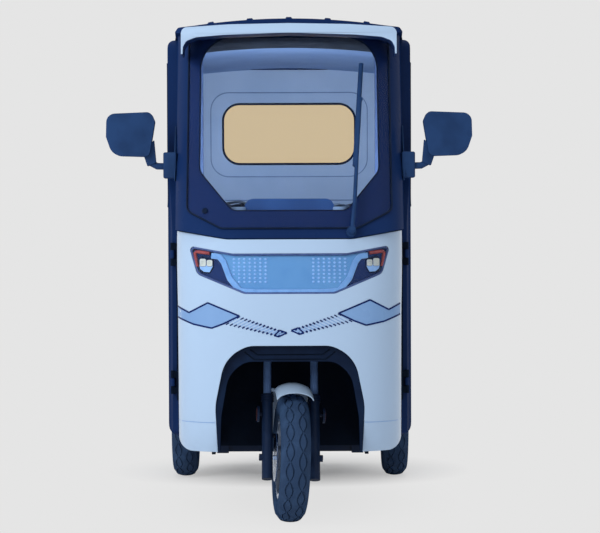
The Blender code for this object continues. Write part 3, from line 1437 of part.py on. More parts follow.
# Mirrors
def build_mirrors(finishes):
    seat_shape = sheet("mirror_seat", screen_rows(), 0.060, SEAT_GAP, helper=True)
    near, back = FRAME_HALF + 0.095, FRONT_Y + 0.348
    for word, side in (("left", 1), ("right", -1)):
        # Corners as (x beyond near, z, radius)
        shell_outline = [
            (0.000, 1.352, 0.02),
            (0.020, 1.232, 0.02),
            (0.144, 1.236, 0.045),
            (0.166, 1.300, 0.0),
            (0.164, 1.378, 0.03),
            (0.014, 1.384, 0.022),
        ]
        outline = filleted([(side * (near + x), z, radius) for x, z, radius in shell_outline])
        mirror = prism("mirror_" + word, [outline], "Y", back - 0.048, back, finishes["plastic"])
        block_x = sorted((side * (near - 0.086), side * (near - 0.027)))
        block = box(
            "mirror_block_" + word,
            (block_x[0], back - 0.030, 1.159),
            (block_x[1], back + 0.014, 1.248),
            helper=True,
        )
        arm_x = sorted((side * (near - 0.036), side * (near + 0.027)))
        arm = box(
            "mirror_arm_" + word,
            (arm_x[0], back - 0.022, 1.191),
            (arm_x[1], back + 0.004, 1.216),
            helper=True,
        )
        neck_view = [(-0.003, 1.212, 0), (0.027, 1.200, 0), (0.044, 1.250, 0), (0.004, 1.290, 0)]
        neck_outline = filleted([(side * (near + x), z, radius) for x, z, radius in neck_view])
        neck = prism("mirror_neck_" + word, [neck_outline], "Y", back - 0.026, back - 0.003, helper=True)
        join(mirror, neck, arm, block)
        cut(mirror, seat_shape)
        glass_view = [(0.024, 1.350, 0.015), (0.034, 1.250, 0.015), (0.138, 1.252, 0.03), (0.151, 1.365, 0.02)]
        pane = filleted([(side * (near + x), z, radius) for x, z, radius in glass_view])
        prism("mirror_glass_" + word, [pane], "Y", back + SEAT_GAP, back + 0.003, finishes["mirror"])


def main():
    global PARTS, CUTTERS
    clear_scene()
    PARTS = collection("cabin_moped")
    CUTTERS = collection("cutters")
    finishes = palette()
    build_front_end(finishes)
    build_rear_wheels(finishes)
    build_fascia(finishes)
    build_arch_and_well(finishes)
    build_headlamp(finishes)
    build_windscreen(finishes)
    build_wiper(finishes)
    build_side_frames(finishes)
    build_floor(finishes)
    build_chassis(finishes)
    build_rear_axle(finishes)
    build_roof(finishes)
    build_visor(finishes)
    build_rear_body(finishes)
    build_rear_trim(finishes)
    build_plate_holder(finishes)
    build_wheel_houses(finishes)
    build_interior(finishes)
    build_doors(finishes)
    build_mirrors(finishes)


main()
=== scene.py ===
"""Looks for the enclosed three-wheeled electric moped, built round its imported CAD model.

Metres, in the CAD frame: +X is the driver's left, -Y is forward, +Z is up. Body panels are
made again here from the same formulas with finer steps, then finished with node materials.
"""

import math

import bmesh
import bpy
from mathutils import Matrix, Vector


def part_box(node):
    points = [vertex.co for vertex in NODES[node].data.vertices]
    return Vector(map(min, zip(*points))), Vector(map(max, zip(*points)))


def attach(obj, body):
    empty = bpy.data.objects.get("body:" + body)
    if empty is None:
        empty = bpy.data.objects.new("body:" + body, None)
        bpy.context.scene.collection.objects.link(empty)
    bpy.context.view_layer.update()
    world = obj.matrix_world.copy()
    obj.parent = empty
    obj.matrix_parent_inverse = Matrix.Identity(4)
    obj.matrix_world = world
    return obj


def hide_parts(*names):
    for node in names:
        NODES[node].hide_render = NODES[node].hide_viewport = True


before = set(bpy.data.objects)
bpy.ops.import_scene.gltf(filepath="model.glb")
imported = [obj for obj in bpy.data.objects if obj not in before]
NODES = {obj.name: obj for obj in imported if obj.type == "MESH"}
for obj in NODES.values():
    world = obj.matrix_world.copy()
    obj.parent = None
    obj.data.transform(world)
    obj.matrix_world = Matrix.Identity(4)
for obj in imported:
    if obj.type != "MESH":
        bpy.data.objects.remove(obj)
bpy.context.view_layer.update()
SIDES = (("left", 1), ("right", -1))

# Camera, fitted to the photograph
CAMERA_PLACE = (0.0, -8.405, 0.95)
CAMERA_PITCH = math.radians(0.696)
CAMERA_YAW = math.radians(0.269)
CAMERA_ROLL = math.radians(0.20)
LENS = 134.3
BACKDROP = (229, 229, 229)
FLOOR_PAPER = (246, 246, 246)
FLOOR_PATCH = (245, 245, 245)
FLOOR_HALF = 60

# Whole vehicle
LENGTH = 2.200
TYRE_RADIUS = 0.215
TYRE_WIDTH = 0.100
TREAD_COUNT = 20
TREAD_DEPTH = 0.0038
TREAD_GAP = 0.0023
TREAD_LINE = 0.0205
TREAD_EDGE = 0.0435
TREAD_FOOT = 1 - 0.006 / TYRE_RADIUS
RIM_SEAT_RADIUS = 0.128
RIM_FLANGE_RADIUS = 0.140
RIM_FLANGE_HALF = 0.041
RIM_FLANGE_THICK = 0.0047
RIM_INNER_RADIUS = 0.115
LIP_THICK = 0.0010
SPOKES = 5
SPOKE_ANGLE = math.radians(22)
SPOKE_DISC_THICK = 0.014
SPOKE_DISC_AT = 0.017
HUB_RADIUS = 0.028
CASTER = math.radians(20)
STEER_AT_REST = math.radians(5.5)
FORK_OFFSET = 0.026
LEG_SPREAD = 0.080
LEG_RADIUS = 0.0185
FRONT_AXLE_Y = -LENGTH / 2 + TYRE_RADIUS
REAR_AXLE_Y = FRONT_AXLE_Y + 1.500
TRACK = 0.838

# Cab and body
FASCIA_HALF = 0.377
FASCIA_FLARE = 0.006
SURROUND_HALF = 0.389
FRAME_HALF = 0.361
SEAT_GAP = 0.0003
PANEL_BACK_Y = -0.700
NOSE_DEPTH = 0.220
NOSE_POWER = 2.6
CORNER_SEAM_Z = 0.343
FASCIA_TOP_Z = 0.950
FASCIA_SIDE_RISE = 0.030
FASCIA_TOP_FLAT = 0.211
SEAM_GAP = 0.003
SCREEN_DEPTH = 0.174
SCREEN_POWER = 3.2
SCREEN_BASE_Y = -0.975
SCREEN_RAKE = math.radians(20.7)
GLASS_THICK = 0.004
GLASS_GAP = 0.0006
FRAME_FRONT_Y = -0.742
FRAME_TOP_Z = 1.6597
PILLAR_BEND_Z = 1.000
PILLAR_LEAN = 0.182 / 0.660
ROOF_TOP_Z = FRAME_TOP_Z + 0.0498
ROOF_SKIN = 0.012
ROOF_DROP = 0.0315
ROOF_SHOULDER = 0.018
ROOF_FRONT_Y = -0.700
ROOF_FRONT_HALF = 0.391
ROOF_REAR_HALF = 0.446
ROOF_ROOM_HALF = 0.290
RIB_COUNT = 5
RIB_PITCH = 0.134
RIB_WIDTH = 0.023
RIB_HEIGHT = 0.005
REAR_WALL = 0.025
REAR_HALF = 0.450
REAR_FRONT_Y = 0.236
REAR_DEPTH = 0.150
REAR_POWER = 3.4
BELT_Z = 1.000
REAR_BOTTOM_Z = 0.300
REAR_LEAN = 0.055
WHEEL_ARCH_RADIUS = 0.255
BUMPER_THICK = 0.030
LINING_MIDDLE_Z = 1.392
LINING_CELLS = 72
LINE_LIFT = 0.0065
HEADER_HALF = 0.323
HEADER_THICK = 0.003
HEADER_STARTS = (-0.62, 0.05, 0.26)
HEADER_END = 0.992
LAMP_DEPTH = 0.034
LAMP_WALL = 0.006
LAMP_FACE = -0.012
ON_FACE = LAMP_FACE + 0.003
GUIDE_WIDTH = 0.0165
DOT_COLUMNS = 7
DOT_ROWS = 7
HATCH_COUNT = 14
SWELL_LIMIT = 0.007
SWELL_FRAMES = 15
CHANNEL_HALF = 0.018
CHANNEL_DEPTH = 0.006
SIDE_CHANNEL = 0.74
SIDE_CHANNEL_HALF = 0.04
SIDE_CHANNEL_DEPTH = 0.004
DOOR_INNER_X = 0.366
DOOR_BOTTOM_Z = 0.272
DOOR_TOP_Z = 1.655
DOOR_FRONT_Y = -0.690
DOOR_BACK_Y = 0.225
DOOR_EDGE_ROUND = 0.028
HINGE_X = 0.402
HINGE_Y = -0.705
HINGE_HEIGHTS = (0.460, 0.900)
KNUCKLE_HALF = 0.013
KNUCKLE_RADIUS = 0.008

REAR_Y = LENGTH / 2 - BUMPER_THICK - SEAT_GAP
FASCIA_THICK = FASCIA_HALF - FRAME_HALF - SEAT_GAP
SURROUND_THICK = SURROUND_HALF - FRAME_HALF - SEAT_GAP
LEG_TILT = Matrix.Rotation(-CASTER, 3, "X")
STEER_POINT = Vector((0, FRONT_AXLE_Y, TYRE_RADIUS)) + LEG_TILT @ Vector((0, FORK_OFFSET, 0))
STEER_PLACE = Matrix.Translation(STEER_POINT) @ LEG_TILT.to_4x4() @ Matrix.Rotation(STEER_AT_REST, 4, "Z")
FORK_PLACE = STEER_PLACE @ Matrix.Translation((0, -FORK_OFFSET, 0))

# Front view outlines, each corner as (x, z, radius), the same as in the CAD source
ARCH = [(0.1375, 0.599, 0.09), (0.2150, 0.560, 0.12), (0.2480, 0.400, 0.20), (0.2400, 0.230, 0)]
FASCIA_VIEW = [(0.400, 0.3200, 0), (0.3775, 0.3180, 0), (0.3775, 0.2425, 0.052), (0.230, 0.2425, 0)]
LAMP = [(0.1900, 0.9035, 0.03), (0.3370, 0.9300, 0.012), (0.3080, 0.8350, 0.03), (0.1500, 0.7700, 0.04)]
SCREEN_GLASS = [(0.342, 1.652, 0.03), (0.342, 1.045, 0.03), (0.228, 0.986, 0.03)]
SCREEN_CLEAR = [(0.303, 1.645, 0.11), (0.303, 1.180, 0.05), (0.192, 1.046, 0.04)]
REAR_WINDOW = [(0.277, 1.518, 0.07), (0.277, 1.267, 0.07)]

# Rows are (height, nose's foremost y)
NOSE = (
    (0.243, -0.992),
    (0.290, -1.012),
    (CORNER_SEAM_Z, -1.022),
    (0.450, -1.030),
    (0.600, -1.032),
    (0.760, -1.028),
    (0.850, -1.016),
    (0.910, -1.002),
    (0.950, -0.985),
    (0.985, -0.975),
)
# Rows are (height, share of the flare that the fascia has there)
FLARE = ((0.50, 0.0), (0.60, 0.10), (0.72, 0.25), (0.85, 0.70), (0.95, 1.0))

# Side view outline of the quarter windows, each corner as (y, z, radius)
QUARTER_WINDOW = [(0.340, 1.100, 0.05), (0.340, 1.560, 0.05), (0.850, 1.560, 0.07), (0.890, 1.100, 0.05)]

# How far the cutters reach
FRONT_CUT_Y = -1.2
ARCH_CUT_Y = -0.75
LAMP_CUT_Y = -0.80
SCREEN_CUT_Y = -0.50
VIEW_CUT_Y = -0.60
REAR_CUT_Y = 1.30
CABIN_CUT_Y = 0.80
SIDE_CUT_X = 0.6

PLAN_STEPS = 36
ARC_STEPS = 14
FINISHES = {}


# Colour and materials
def linear(value):
    value /= 255
    return value / 12.92 if value <= 0.04045 else ((value + 0.055) / 1.055) ** 2.4


def rgb(colour):
    """An 8-bit sRGB colour as the linear colour that Blender takes."""
    return (*(linear(value) for value in colour), 1.0)


class Graph:
    """Adds nodes to a node tree and links them."""

    def __init__(self, tree):
        self.tree = tree

    def add(self, kind, **values):
        node = self.tree.nodes.new(kind)
        for key, value in values.items():
            if hasattr(node, key):
                setattr(node, key, value)
            else:
                node.inputs[key.replace("_", " ")].default_value = value
        return node

    def feed(self, socket, value):
        """Links an output to a socket, or sets the socket to a number or colour."""
        if isinstance(value, bpy.types.NodeSocket):
            self.tree.links.new(value, socket)
        else:
            socket.default_value = value

    def ranged(self, value, low, high, to_low, to_high):
        node = self.add("ShaderNodeMapRange", From_Min=low, From_Max=high, To_Min=to_low, To_Max=to_high)
        self.feed(node.inputs["Value"], value)
        return node.outputs["Result"]

    def math(self, operation, first, second):
        node = self.add("ShaderNodeMath", operation=operation)
        self.feed(node.inputs[0], first)
        self.feed(node.inputs[1], second)
        return node.outputs[0]

    def mix(self, share, first, second):
        """A colour between two, each a colour or an output."""
        node = self.add("ShaderNodeMix", data_type="RGBA")
        self.feed(node.inputs["Factor"], share)
        for name, value in (("A", first), ("B", second)):
            self.feed(next(s for s in node.inputs if s.name == name and s.type == "RGBA"), value)
        return next(s for s in node.outputs if s.type == "RGBA")

    def blend(self, share, first, second):
        """A shader between two."""
        node = self.add("ShaderNodeMixShader")
        for socket, value in zip(node.inputs, (share, first, second)):
            self.feed(socket, value)
        return node.outputs[0]

    def plain_rays(self):
        """1 for the rays that see the plain backdrop: camera, glossy and transmission rays."""
        path = self.add("ShaderNodeLightPath").outputs
        direct = self.math("MAXIMUM", path["Is Camera Ray"], path["Is Glossy Ray"])
        return self.math("MAXIMUM", direct, path["Is Transmission Ray"])

    def show(self, shader):
        output = next(n for n in self.tree.nodes if n.type in ("OUTPUT_MATERIAL", "OUTPUT_WORLD"))
        self.feed(output.inputs["Surface"], shader)


class Finish(Graph):
    """A node material: a Principled shader with a few procedural layers on it."""

    def __init__(self, name, colour, roughness, metallic=0.0, **inputs):
        self.material = bpy.data.materials.new(name)
        self.material.use_nodes = True
        super().__init__(self.material.node_tree)
        self.shader = self.tree.nodes["Principled BSDF"]
        self.base = rgb(colour)
        self.roughness = roughness
        inputs.update({"Base Color": self.base, "Roughness": roughness, "Metallic": metallic})
        for key, value in inputs.items():
            self.shader.inputs[key.replace("_", " ")].default_value = value
        self.coords = self.add("ShaderNodeTexCoord").outputs["Object"]

    def mapped(self, scale, place=(0, 0, 0)):
        """Object coordinates times a scale for each axis, then moved."""
        node = self.add("ShaderNodeMapping", Scale=scale, Location=place)
        self.feed(node.inputs["Vector"], self.coords)
        return node.outputs["Vector"]

    def noise(self, scale, detail=3.0, stretch=None):
        node = self.add("ShaderNodeTexNoise", Scale=scale, Detail=detail)
        self.feed(node.inputs["Vector"], self.mapped(stretch) if stretch else self.coords)
        return node.outputs["Fac"]

    def layer(self, share, colour):
        self.base = self.mix(share, self.base, rgb(colour))
        self.feed(self.shader.inputs["Base Color"], self.base)

    def mottle(self, other, scale, low=0.4, high=0.65, detail=4.0):
        """Blends the base colour towards another one in soft noise patches."""
        self.layer(self.ranged(self.noise(scale, detail), low, high, 0.0, 1.0), other)

    def low_dust(self, dust, top_z, amount):
        """Road dust that fades out with height above the ground."""
        height = self.add("ShaderNodeSeparateXYZ")
        self.feed(height.inputs[0], self.coords)
        rise = self.ranged(height.outputs["Z"], 0.20, top_z, amount, 0.0)
        patch = self.ranged(self.noise(22.0, 5.0), 0.35, 0.70, 0.25, 1.0)
        self.layer(self.math("MULTIPLY", rise, patch), dust)

    def rough_noise(self, scale, by):
        low, high = max(self.roughness - by, 0.01), self.roughness + by
        self.feed(self.shader.inputs["Roughness"], self.ranged(self.noise(scale), 0.3, 0.7, low, high))

    def bump(self, height, strength, distance):
        node = self.add("ShaderNodeBump", Strength=strength, Distance=distance)
        normal = self.shader.inputs["Normal"]
        self.feed(node.inputs["Height"], height)
        if normal.is_linked:
            self.feed(node.inputs["Normal"], normal.links[0].from_socket)
        self.feed(normal, node.outputs["Normal"])

    def noise_bump(self, scale, strength, distance, stretch=None):
        self.bump(self.noise(scale, 2.0, stretch), strength, distance)

    def cells(self, scale, strength, distance, feature="F1"):
        node = self.add("ShaderNodeTexVoronoi", feature=feature, Scale=scale)
        self.feed(node.inputs["Vector"], self.coords)
        self.bump(node.outputs["Distance"], strength, distance)

    def waves(self, scale, axis, strength, distance):
        node = self.add("ShaderNodeTexWave", wave_type="BANDS", bands_direction=axis, Scale=scale)
        self.feed(node.inputs["Vector"], self.coords)
        self.bump(node.outputs["Fac"], strength, distance)

    def calm_edges(self, facing, grazing=1.001):
        """Less gloss where a dark panel curves away, so that no pale rim shows there."""
        weight = self.add("ShaderNodeLayerWeight").outputs["Facing"]
        self.feed(self.shader.inputs["IOR"], self.ranged(weight, 0.45, 0.88, facing, grazing))

    def rounded_edges(self, radius):
        node = self.add("ShaderNodeBevel", Radius=radius)
        node.samples = 4
        self.feed(self.shader.inputs["Normal"], node.outputs["Normal"])


def clear_glass(name, tint, haze):
    """Glass that keeps a soft reflection and lets light through to what is behind it."""
    glass = Finish(name, tint, 0.02, IOR=1.3)
    glass.noise_bump(1.3, 0.05, 0.002)
    glass.rough_noise(3.0, 0.01)
    passing = glass.add("ShaderNodeBsdfTransparent", Color=rgb(tint))
    gloss = glass.add("ShaderNodeBsdfGlossy", Roughness=0.02)
    fresnel = glass.add("ShaderNodeFresnel", IOR=1.12)
    pane = glass.blend(fresnel.outputs[0], passing.outputs[0], gloss.outputs[0])
    glass.show(glass.blend(haze, pane, glass.shader.outputs[0]))
    FINISHES[name] = glass.material


def look(key, name, colour, rough, other, patch, relief, wear, dust=None, calm=None, edge=None, **inputs):
    """One finish, kept under its key.

    Its colour turns into the other one in patches (scale, from, to, detail). The relief is a
    kind with its scale, strength and distance, and wear is the scale and spread of uneven gloss.
    Dust is (colour, top, amount), calm is for calm_edges, and edge for rounded_edges.
    """
    made = Finish(name, colour, rough, **inputs)
    made.mottle(other, *patch)
    if dust:
        made.low_dust(*dust)
    if calm:
        made.calm_edges(calm)
    if edge:
        made.rounded_edges(edge)
    if relief:
        getattr(made, relief[0])(*relief[1:])
    made.rough_noise(*wear)
    FINISHES[key] = made.material


def make_finishes():
    even, grain = ("noise_bump", 500, 0.05, 0.0002), ("cells", 1300, 0.12, 0.0002)
    # Columns: key, name, colour, roughness, other colour, patch, relief, wear
    look("white", "paint_white", (170, 197, 228), 0.30, (168, 195, 227), (0.8, 0.25, 0.75, 1.0),
         ("noise_bump", 420, 0.04, 0.0003), (4, 0.012), dust=((120, 128, 140), 0.40, 0.12), edge=0.0025,
         Specular_IOR_Level=0.35, Coat_Weight=0.3, Coat_Roughness=0.06)
    look("black", "paint_black", (22, 46, 92), 0.30, (19, 40, 82), (2.0,),
         ("noise_bump", 420, 0.05, 0.0003), (8, 0.06), dust=((44, 56, 80), 0.45, 0.2), calm=1.13, edge=0.0025)
    look("plastic", "moulded_plastic", (10, 19, 34), 0.55, (14, 25, 42), (8,),
         ("cells", 900, 0.25, 0.0003), (14, 0.10), dust=((34, 44, 60), 0.4, 0.2), calm=1.10)
    look("trim", "trim_black", (14, 27, 50), 0.42, (18, 34, 60), (12,), grain, (16, 0.08), calm=1.16)
    look("shell", "mirror_shell", (36, 63, 106), 0.5, (31, 55, 94), (14,), grain, (16, 0.08), calm=1.16)
    look("rubber", "rubber", (44, 64, 94), 0.7, (56, 80, 114), (16, 0.45, 0.75),
         ("noise_bump", 700, 0.25, 0.0004), (30, 0.08), dust=((84, 98, 120), 0.2, 0.3), calm=1.16)
    look("steel", "painted_steel", (22, 38, 66), 0.38, (30, 48, 78), (18, 0.5, 0.75),
         ("noise_bump", 600, 0.10, 0.0003), (20, 0.08), dust=((50, 62, 84), 0.40, 0.2), calm=1.2)
    look("chrome", "chrome_steel", (186, 208, 240), 0.16, (168, 190, 222), (30,),
         ("noise_bump", 260, 0.05, 0.0002, (1, 1, 0.05)), (40, 0.05), metallic=1.0)
    # The chrome stanchions get a pale blue paint instead: painted reflection of the sky, made bright for the
    # shade under the arch
    look("stanchion_painted_reflection", "fork_stanchion_painted_reflection", (98, 130, 184), 0.3, (88, 118, 170), (30,),
         ("noise_bump", 260, 0.05, 0.0002), (40, 0.05), IOR=1.25)
    look("alloy", "wheel_alloy", (172, 184, 202), 0.35, (140, 152, 170), (14,),
         ("noise_bump", 900, 0.15, 0.0002), (24, 0.08), metallic=0.75)
    look("seat", "seat_leather", (38, 46, 62), 0.52, (50, 60, 78), (12,),
         ("cells", 420, 0.45, 0.0006, "F2"), (20, 0.08), Sheen_Weight=0.1)
    look("mat", "floor_mat", (40, 46, 56), 0.85, (60, 66, 76), (20,),
         ("waves", 60, "Y", 0.6, 0.002), (30, 0.08))
    look("lining", "cab_lining", (180, 198, 222), 0.75, (172, 191, 216), (5,),
         ("cells", 700, 0.25, 0.0003), (12, 0.08), IOR=1.2)
    look("header", "roof_lining", (134, 160, 200), 0.8, (126, 152, 193), (5,),
         ("cells", 700, 0.25, 0.0003), (12, 0.08), IOR=1.2)
    look("lining_line", "lining_line", (128, 148, 184), 0.7, (118, 138, 174), (20,),
         ("cells", 700, 0.2, 0.0003), (12, 0.05), IOR=1.2)
    look("post", "frame_paint", (92, 116, 160), 0.5, (84, 106, 148), (16,),
         ("noise_bump", 600, 0.1, 0.0003), (20, 0.06), IOR=1.2)
    look("dash", "dash_plastic", (70, 108, 166), 0.6, (63, 98, 153), (10,),
         ("cells", 800, 0.35, 0.0004), (16, 0.08), IOR=1.2)
    look("lamp", "lamp_tray", (132, 182, 218), 0.35, (116, 166, 208), (6,),
         ("waves", 210, "X", 0.25, 0.0006), (12, 0.06), IOR=1.25)
    look("guide", "light_guide", (162, 202, 240), 0.25, (148, 189, 232), (40,),
         ("waves", 300, "X", 0.3, 0.0004), (20, 0.04), IOR=1.25)
    look("bezel", "lamp_bezel", (92, 110, 158), 0.3, (78, 94, 142), (30,),
         ("noise_bump", 500, 0.1, 0.0002), (20, 0.06), IOR=1.25)
    # The lamp bay blue is also painted shade on the visor's underside
    look("bay", "lamp_bay_and_visor_shade", (34, 56, 104), 0.4, (27, 46, 88), (10,),
         ("waves", 240, "X", 0.2, 0.0005), (16, 0.06), IOR=1.2)
    look("lens", "lamp_lens", (232, 230, 214), 0.1, (214, 216, 210), (50,),
         ("waves", 260, "Z", 0.2, 0.0004), (20, 0.03), Coat_Weight=0.8)
    look("dots", "lamp_dots", (190, 222, 255), 0.2, (176, 210, 248), (60,),
         ("noise_bump", 600, 0.1, 0.0002), (20, 0.04), Coat_Weight=0.3)
    look("amber", "amber_lens", (190, 84, 80), 0.25, (168, 70, 72), (40,),
         ("waves", 320, "Z", 0.3, 0.0005), (20, 0.04))
    look("reflector", "fork_reflector", (92, 58, 66), 0.3, (110, 72, 78), (60,),
         ("cells", 500, 0.3, 0.0003), (20, 0.04), IOR=1.25)
    look("red", "red_lens", (150, 22, 26), 0.14, (120, 14, 20), (14,),
         ("waves", 120, "Z", 0.5, 0.0015), (12, 0.04), Coat_Weight=0.8)
    look("decal", "decal_film", (124, 162, 212), 0.3, (118, 156, 207), (6,), even, (12, 0.05), IOR=1.3)
    look("ink", "decal_line", (18, 38, 98), 0.4, (15, 33, 86), (30,), even, (12, 0.05), IOR=1.15)
    # The pale decal blue is also painted shade over the corner seams
    look("pale", "pale_decal_and_seam_shade", (140, 174, 222), 0.3, (130, 164, 214), (30,), even, (12, 0.05), IOR=1.3)
    look("mirror", "mirror_glass", (214, 224, 236), 0.03, (206, 217, 230), (3,),
         None, (6, 0.015), metallic=1.0)
    clear_glass("screen_glass", (240, 247, 255), 0.004)
    clear_glass("door_glass", (190, 206, 228), 0.05)
    clear_glass("rear_glass", (255, 236, 207), 0.004)
    clear_glass("lamp_glass", (240, 247, 255), 0.006)


# Outlines
def filleted(corners):
    """A closed outline. Each corner is (a, b, radius), and a radius over 0 becomes an arc."""
    points = []
    for i, (a, b, radius) in enumerate(corners):
        here = Vector((a, b))
        if radius <= 0:
            points.append((a, b))
            continue
        back = (Vector(corners[i - 1][:2]) - here).normalized()
        on = (Vector(corners[(i + 1) % len(corners)][:2]) - here).normalized()
        half = back.angle(on) / 2
        centre = here + (back + on).normalized() * (radius / math.sin(half))
        start = here + back * (radius / math.tan(half)) - centre
        end = here + on * (radius / math.tan(half)) - centre
        turn = math.atan2(start.cross(end), start.dot(end))
        for angle in spread(0, turn, ARC_STEPS):
            angle += math.atan2(start.y, start.x)
            points.append((centre.x + radius * math.cos(angle), centre.y + radius * math.sin(angle)))
    return points


def spread(low, high, count):
    return [low + (high - low) * i / count for i in range(count + 1)]


def flipped(corners):
    return [(-a, *rest) for a, *rest in reversed(corners)]


def mirrored(half):
    return [*half, *flipped(half)]


def grown(half, by):
    middle = sum(b for _, b, _ in half) / len(half)
    return [(a + by, b + (by if b > middle else -by), radius) for a, b, radius in half]


def sided(points, side):
    """The same points on the +X side, or on the other side for a side of -1."""
    return [(side * a, *rest) for a, *rest in points]


def circle(a, b, radius, steps):
    turns = spread(0, 2 * math.pi, steps)[:-1]
    return [(a + radius * math.cos(t), b + radius * math.sin(t)) for t in turns]


def dense(route, step):
    """The same route with points no further apart than step."""
    points = [route[0]]
    for a, b in zip(route, route[1:]):
        count = max(1, math.ceil(math.dist(a, b) / step))
        points += [tuple(a[k] + (b[k] - a[k]) * i / count for k in range(2)) for i in range(1, count + 1)]
    return points


def dense_loop(outline, step):
    return dense([*outline, outline[0]], step)[:-1]


def beside(route, width):
    """The two lines that run along a route at half this width from it."""
    lines = ([], [])
    for i, at in enumerate(route):
        along = (Vector(route[min(i + 1, len(route) - 1)]) - Vector(route[max(i - 1, 0)])).normalized()
        across = Vector((-along.y, along.x)) * width / 2
        lines[0].append(tuple(Vector(at) + across))
        lines[1].append(tuple(Vector(at) - across))
    return lines


def band(route, width):
    """A flat band along a route, as four-cornered cells."""
    a, b = beside(route, width)
    return [[a[i], a[i + 1], b[i + 1], b[i]] for i in range(len(a) - 1)]


# Solids
def new_object(name, data):
    obj = bpy.data.objects.new(name, data)
    bpy.context.scene.collection.objects.link(obj)
    return obj


def made_of(shape, name):
    """An object with the faces of a bmesh, which is freed."""
    mesh = bpy.data.meshes.new(name)
    shape.to_mesh(mesh)
    shape.free()
    return new_object(name, mesh)


def weld(mesh):
    """Merges the doubles of a mesh and turns its faces outwards."""
    shape = bmesh.new()
    shape.from_mesh(mesh)
    bmesh.ops.remove_doubles(shape, verts=shape.verts, dist=0.00001)
    bmesh.ops.recalc_face_normals(shape, faces=shape.faces)
    shape.to_mesh(mesh)
    shape.free()


def evaluated(obj):
    bpy.context.view_layer.update()
    return bpy.data.meshes.new_from_object(obj.evaluated_get(bpy.context.evaluated_depsgraph_get()))


def settle(obj, clean=True):
    """Applies an object's modifiers and place to its mesh."""
    mesh = evaluated(obj)
    mesh.transform(obj.matrix_world)
    mesh.materials.clear()
    if clean:
        weld(mesh)
    name = obj.name
    bpy.data.objects.remove(obj)
    return new_object(name, mesh)


def prism(name, outlines, axis, low, high):
    """Flat outlines, where one inside another is a hole, drawn along an axis from low to high."""
    turn = {
        "X": Matrix(((0, 0, 1), (1, 0, 0), (0, 1, 0))),
        "Y": Matrix(((1, 0, 0), (0, 0, -1), (0, 1, 0))),
        "Z": Matrix.Identity(3),
    }[axis]
    curve = bpy.data.curves.new(name, "CURVE")
    curve.dimensions = "2D"
    curve.fill_mode = "BOTH"
    curve.extrude = abs(high - low) / 2
    for outline in outlines:
        spline = curve.splines.new("POLY")
        spline.points.add(len(outline) - 1)
        for point, (a, b) in zip(spline.points, outline):
            point.co = (a, b, 0, 1)
        spline.use_cyclic_u = True
    middle = Vector([(low + high) / 2 if letter == axis else 0 for letter in "XYZ"])
    obj = new_object(name, curve)
    obj.matrix_world = Matrix.Translation(middle) @ turn.to_4x4()
    return settle(obj)


def outline_of(half):
    """The closed outline that has these corners on its +X side."""
    return filleted(mirrored(half))


def cutter(half, high, low=FRONT_CUT_Y):
    """A front-view outline drawn along Y, to cut or to trim with."""
    return prism("cutter", [outline_of(half)], "Y", low, high)


def side_cutter(outline):
    return prism("cutter", [outline], "X", -SIDE_CUT_X, SIDE_CUT_X)


def box(name, one, other):
    """A box between any two of its opposite corners."""
    low, high = Vector(map(min, one, other)), Vector(map(max, one, other))
    shape = bmesh.new()
    bmesh.ops.create_cube(shape, size=1.0)
    bmesh.ops.scale(shape, vec=high - low, verts=shape.verts)
    bmesh.ops.translate(shape, vec=(low + high) / 2, verts=shape.verts)
    return made_of(shape, name)


def rod(name, start, end, radius, steps=32):
    start, end = Vector(start), Vector(end)
    shape = bmesh.new()
    depth = (end - start).length
    bmesh.ops.create_cone(shape, cap_ends=True, segments=steps, radius1=radius, radius2=radius, depth=depth)
    turn = (end - start).to_track_quat("Z", "Y").to_matrix().to_4x4()
    bmesh.ops.transform(shape, matrix=Matrix.Translation((start + end) / 2) @ turn, verts=shape.verts)
    return made_of(shape, name)


def tube(name, points, radius, closed=False, sides=4):
    curve = bpy.data.curves.new(name, "CURVE")
    curve.dimensions = "3D"
    curve.bevel_depth = radius
    curve.bevel_resolution = sides
    curve.use_fill_caps = not closed
    spline = curve.splines.new("POLY")
    spline.points.add(len(points) - 1)
    for point, place in zip(spline.points, points):
        point.co = (*place, 1)
    spline.use_cyclic_u = closed
    return settle(new_object(name, curve))


def ring(name, outline, step, point_at, radius, sides=3):
    """A closed tube along an outline that point_at lays in space."""
    return tube(name, [point_at(a, b) for a, b in dense_loop(outline, step)], radius, True, sides)


def turned(name, profile, steps=96):
    """A closed profile of (along, radius) points turned about the X axis."""
    mesh = bpy.data.meshes.new(name)
    edges = [(i, (i + 1) % len(profile)) for i in range(len(profile))]
    mesh.from_pydata([(radius, 0, along) for along, radius in profile], edges, [])
    obj = new_object(name, mesh)
    screw = obj.modifiers.new("turn", "SCREW")
    screw.axis = "Z"
    screw.steps = screw.render_steps = steps
    screw.use_merge_vertices = True
    screw.merge_threshold = 0.00001
    obj.matrix_world = Matrix.Rotation(math.pi / 2, 4, "Y")
    return settle(obj)


def walled(obj, thick, offset, even):
    shell = obj.modifiers.new("wall", "SOLIDIFY")
    shell.thickness = thick
    shell.offset = offset
    shell.use_even_offset = even
    return obj


def sheet(name, rows, thick, lift=0.0, faces_back=False):
    """A grid of points as a shell: its outer skin is lifted by lift, and it is thick inwards."""
    shape = bmesh.new()
    grid = [[shape.verts.new(point) for point in row] for row in rows]
    for lower, upper in zip(grid, grid[1:]):
        for i in range(len(lower) - 1):
            corners = (lower[i], lower[i + 1], upper[i + 1], upper[i])
            shape.faces.new(corners[::-1] if faces_back else corners)
    shape.normal_update()
    for vert in shape.verts:
        vert.co += vert.normal * lift
    return walled(made_of(shape, name), thick, -1, True)


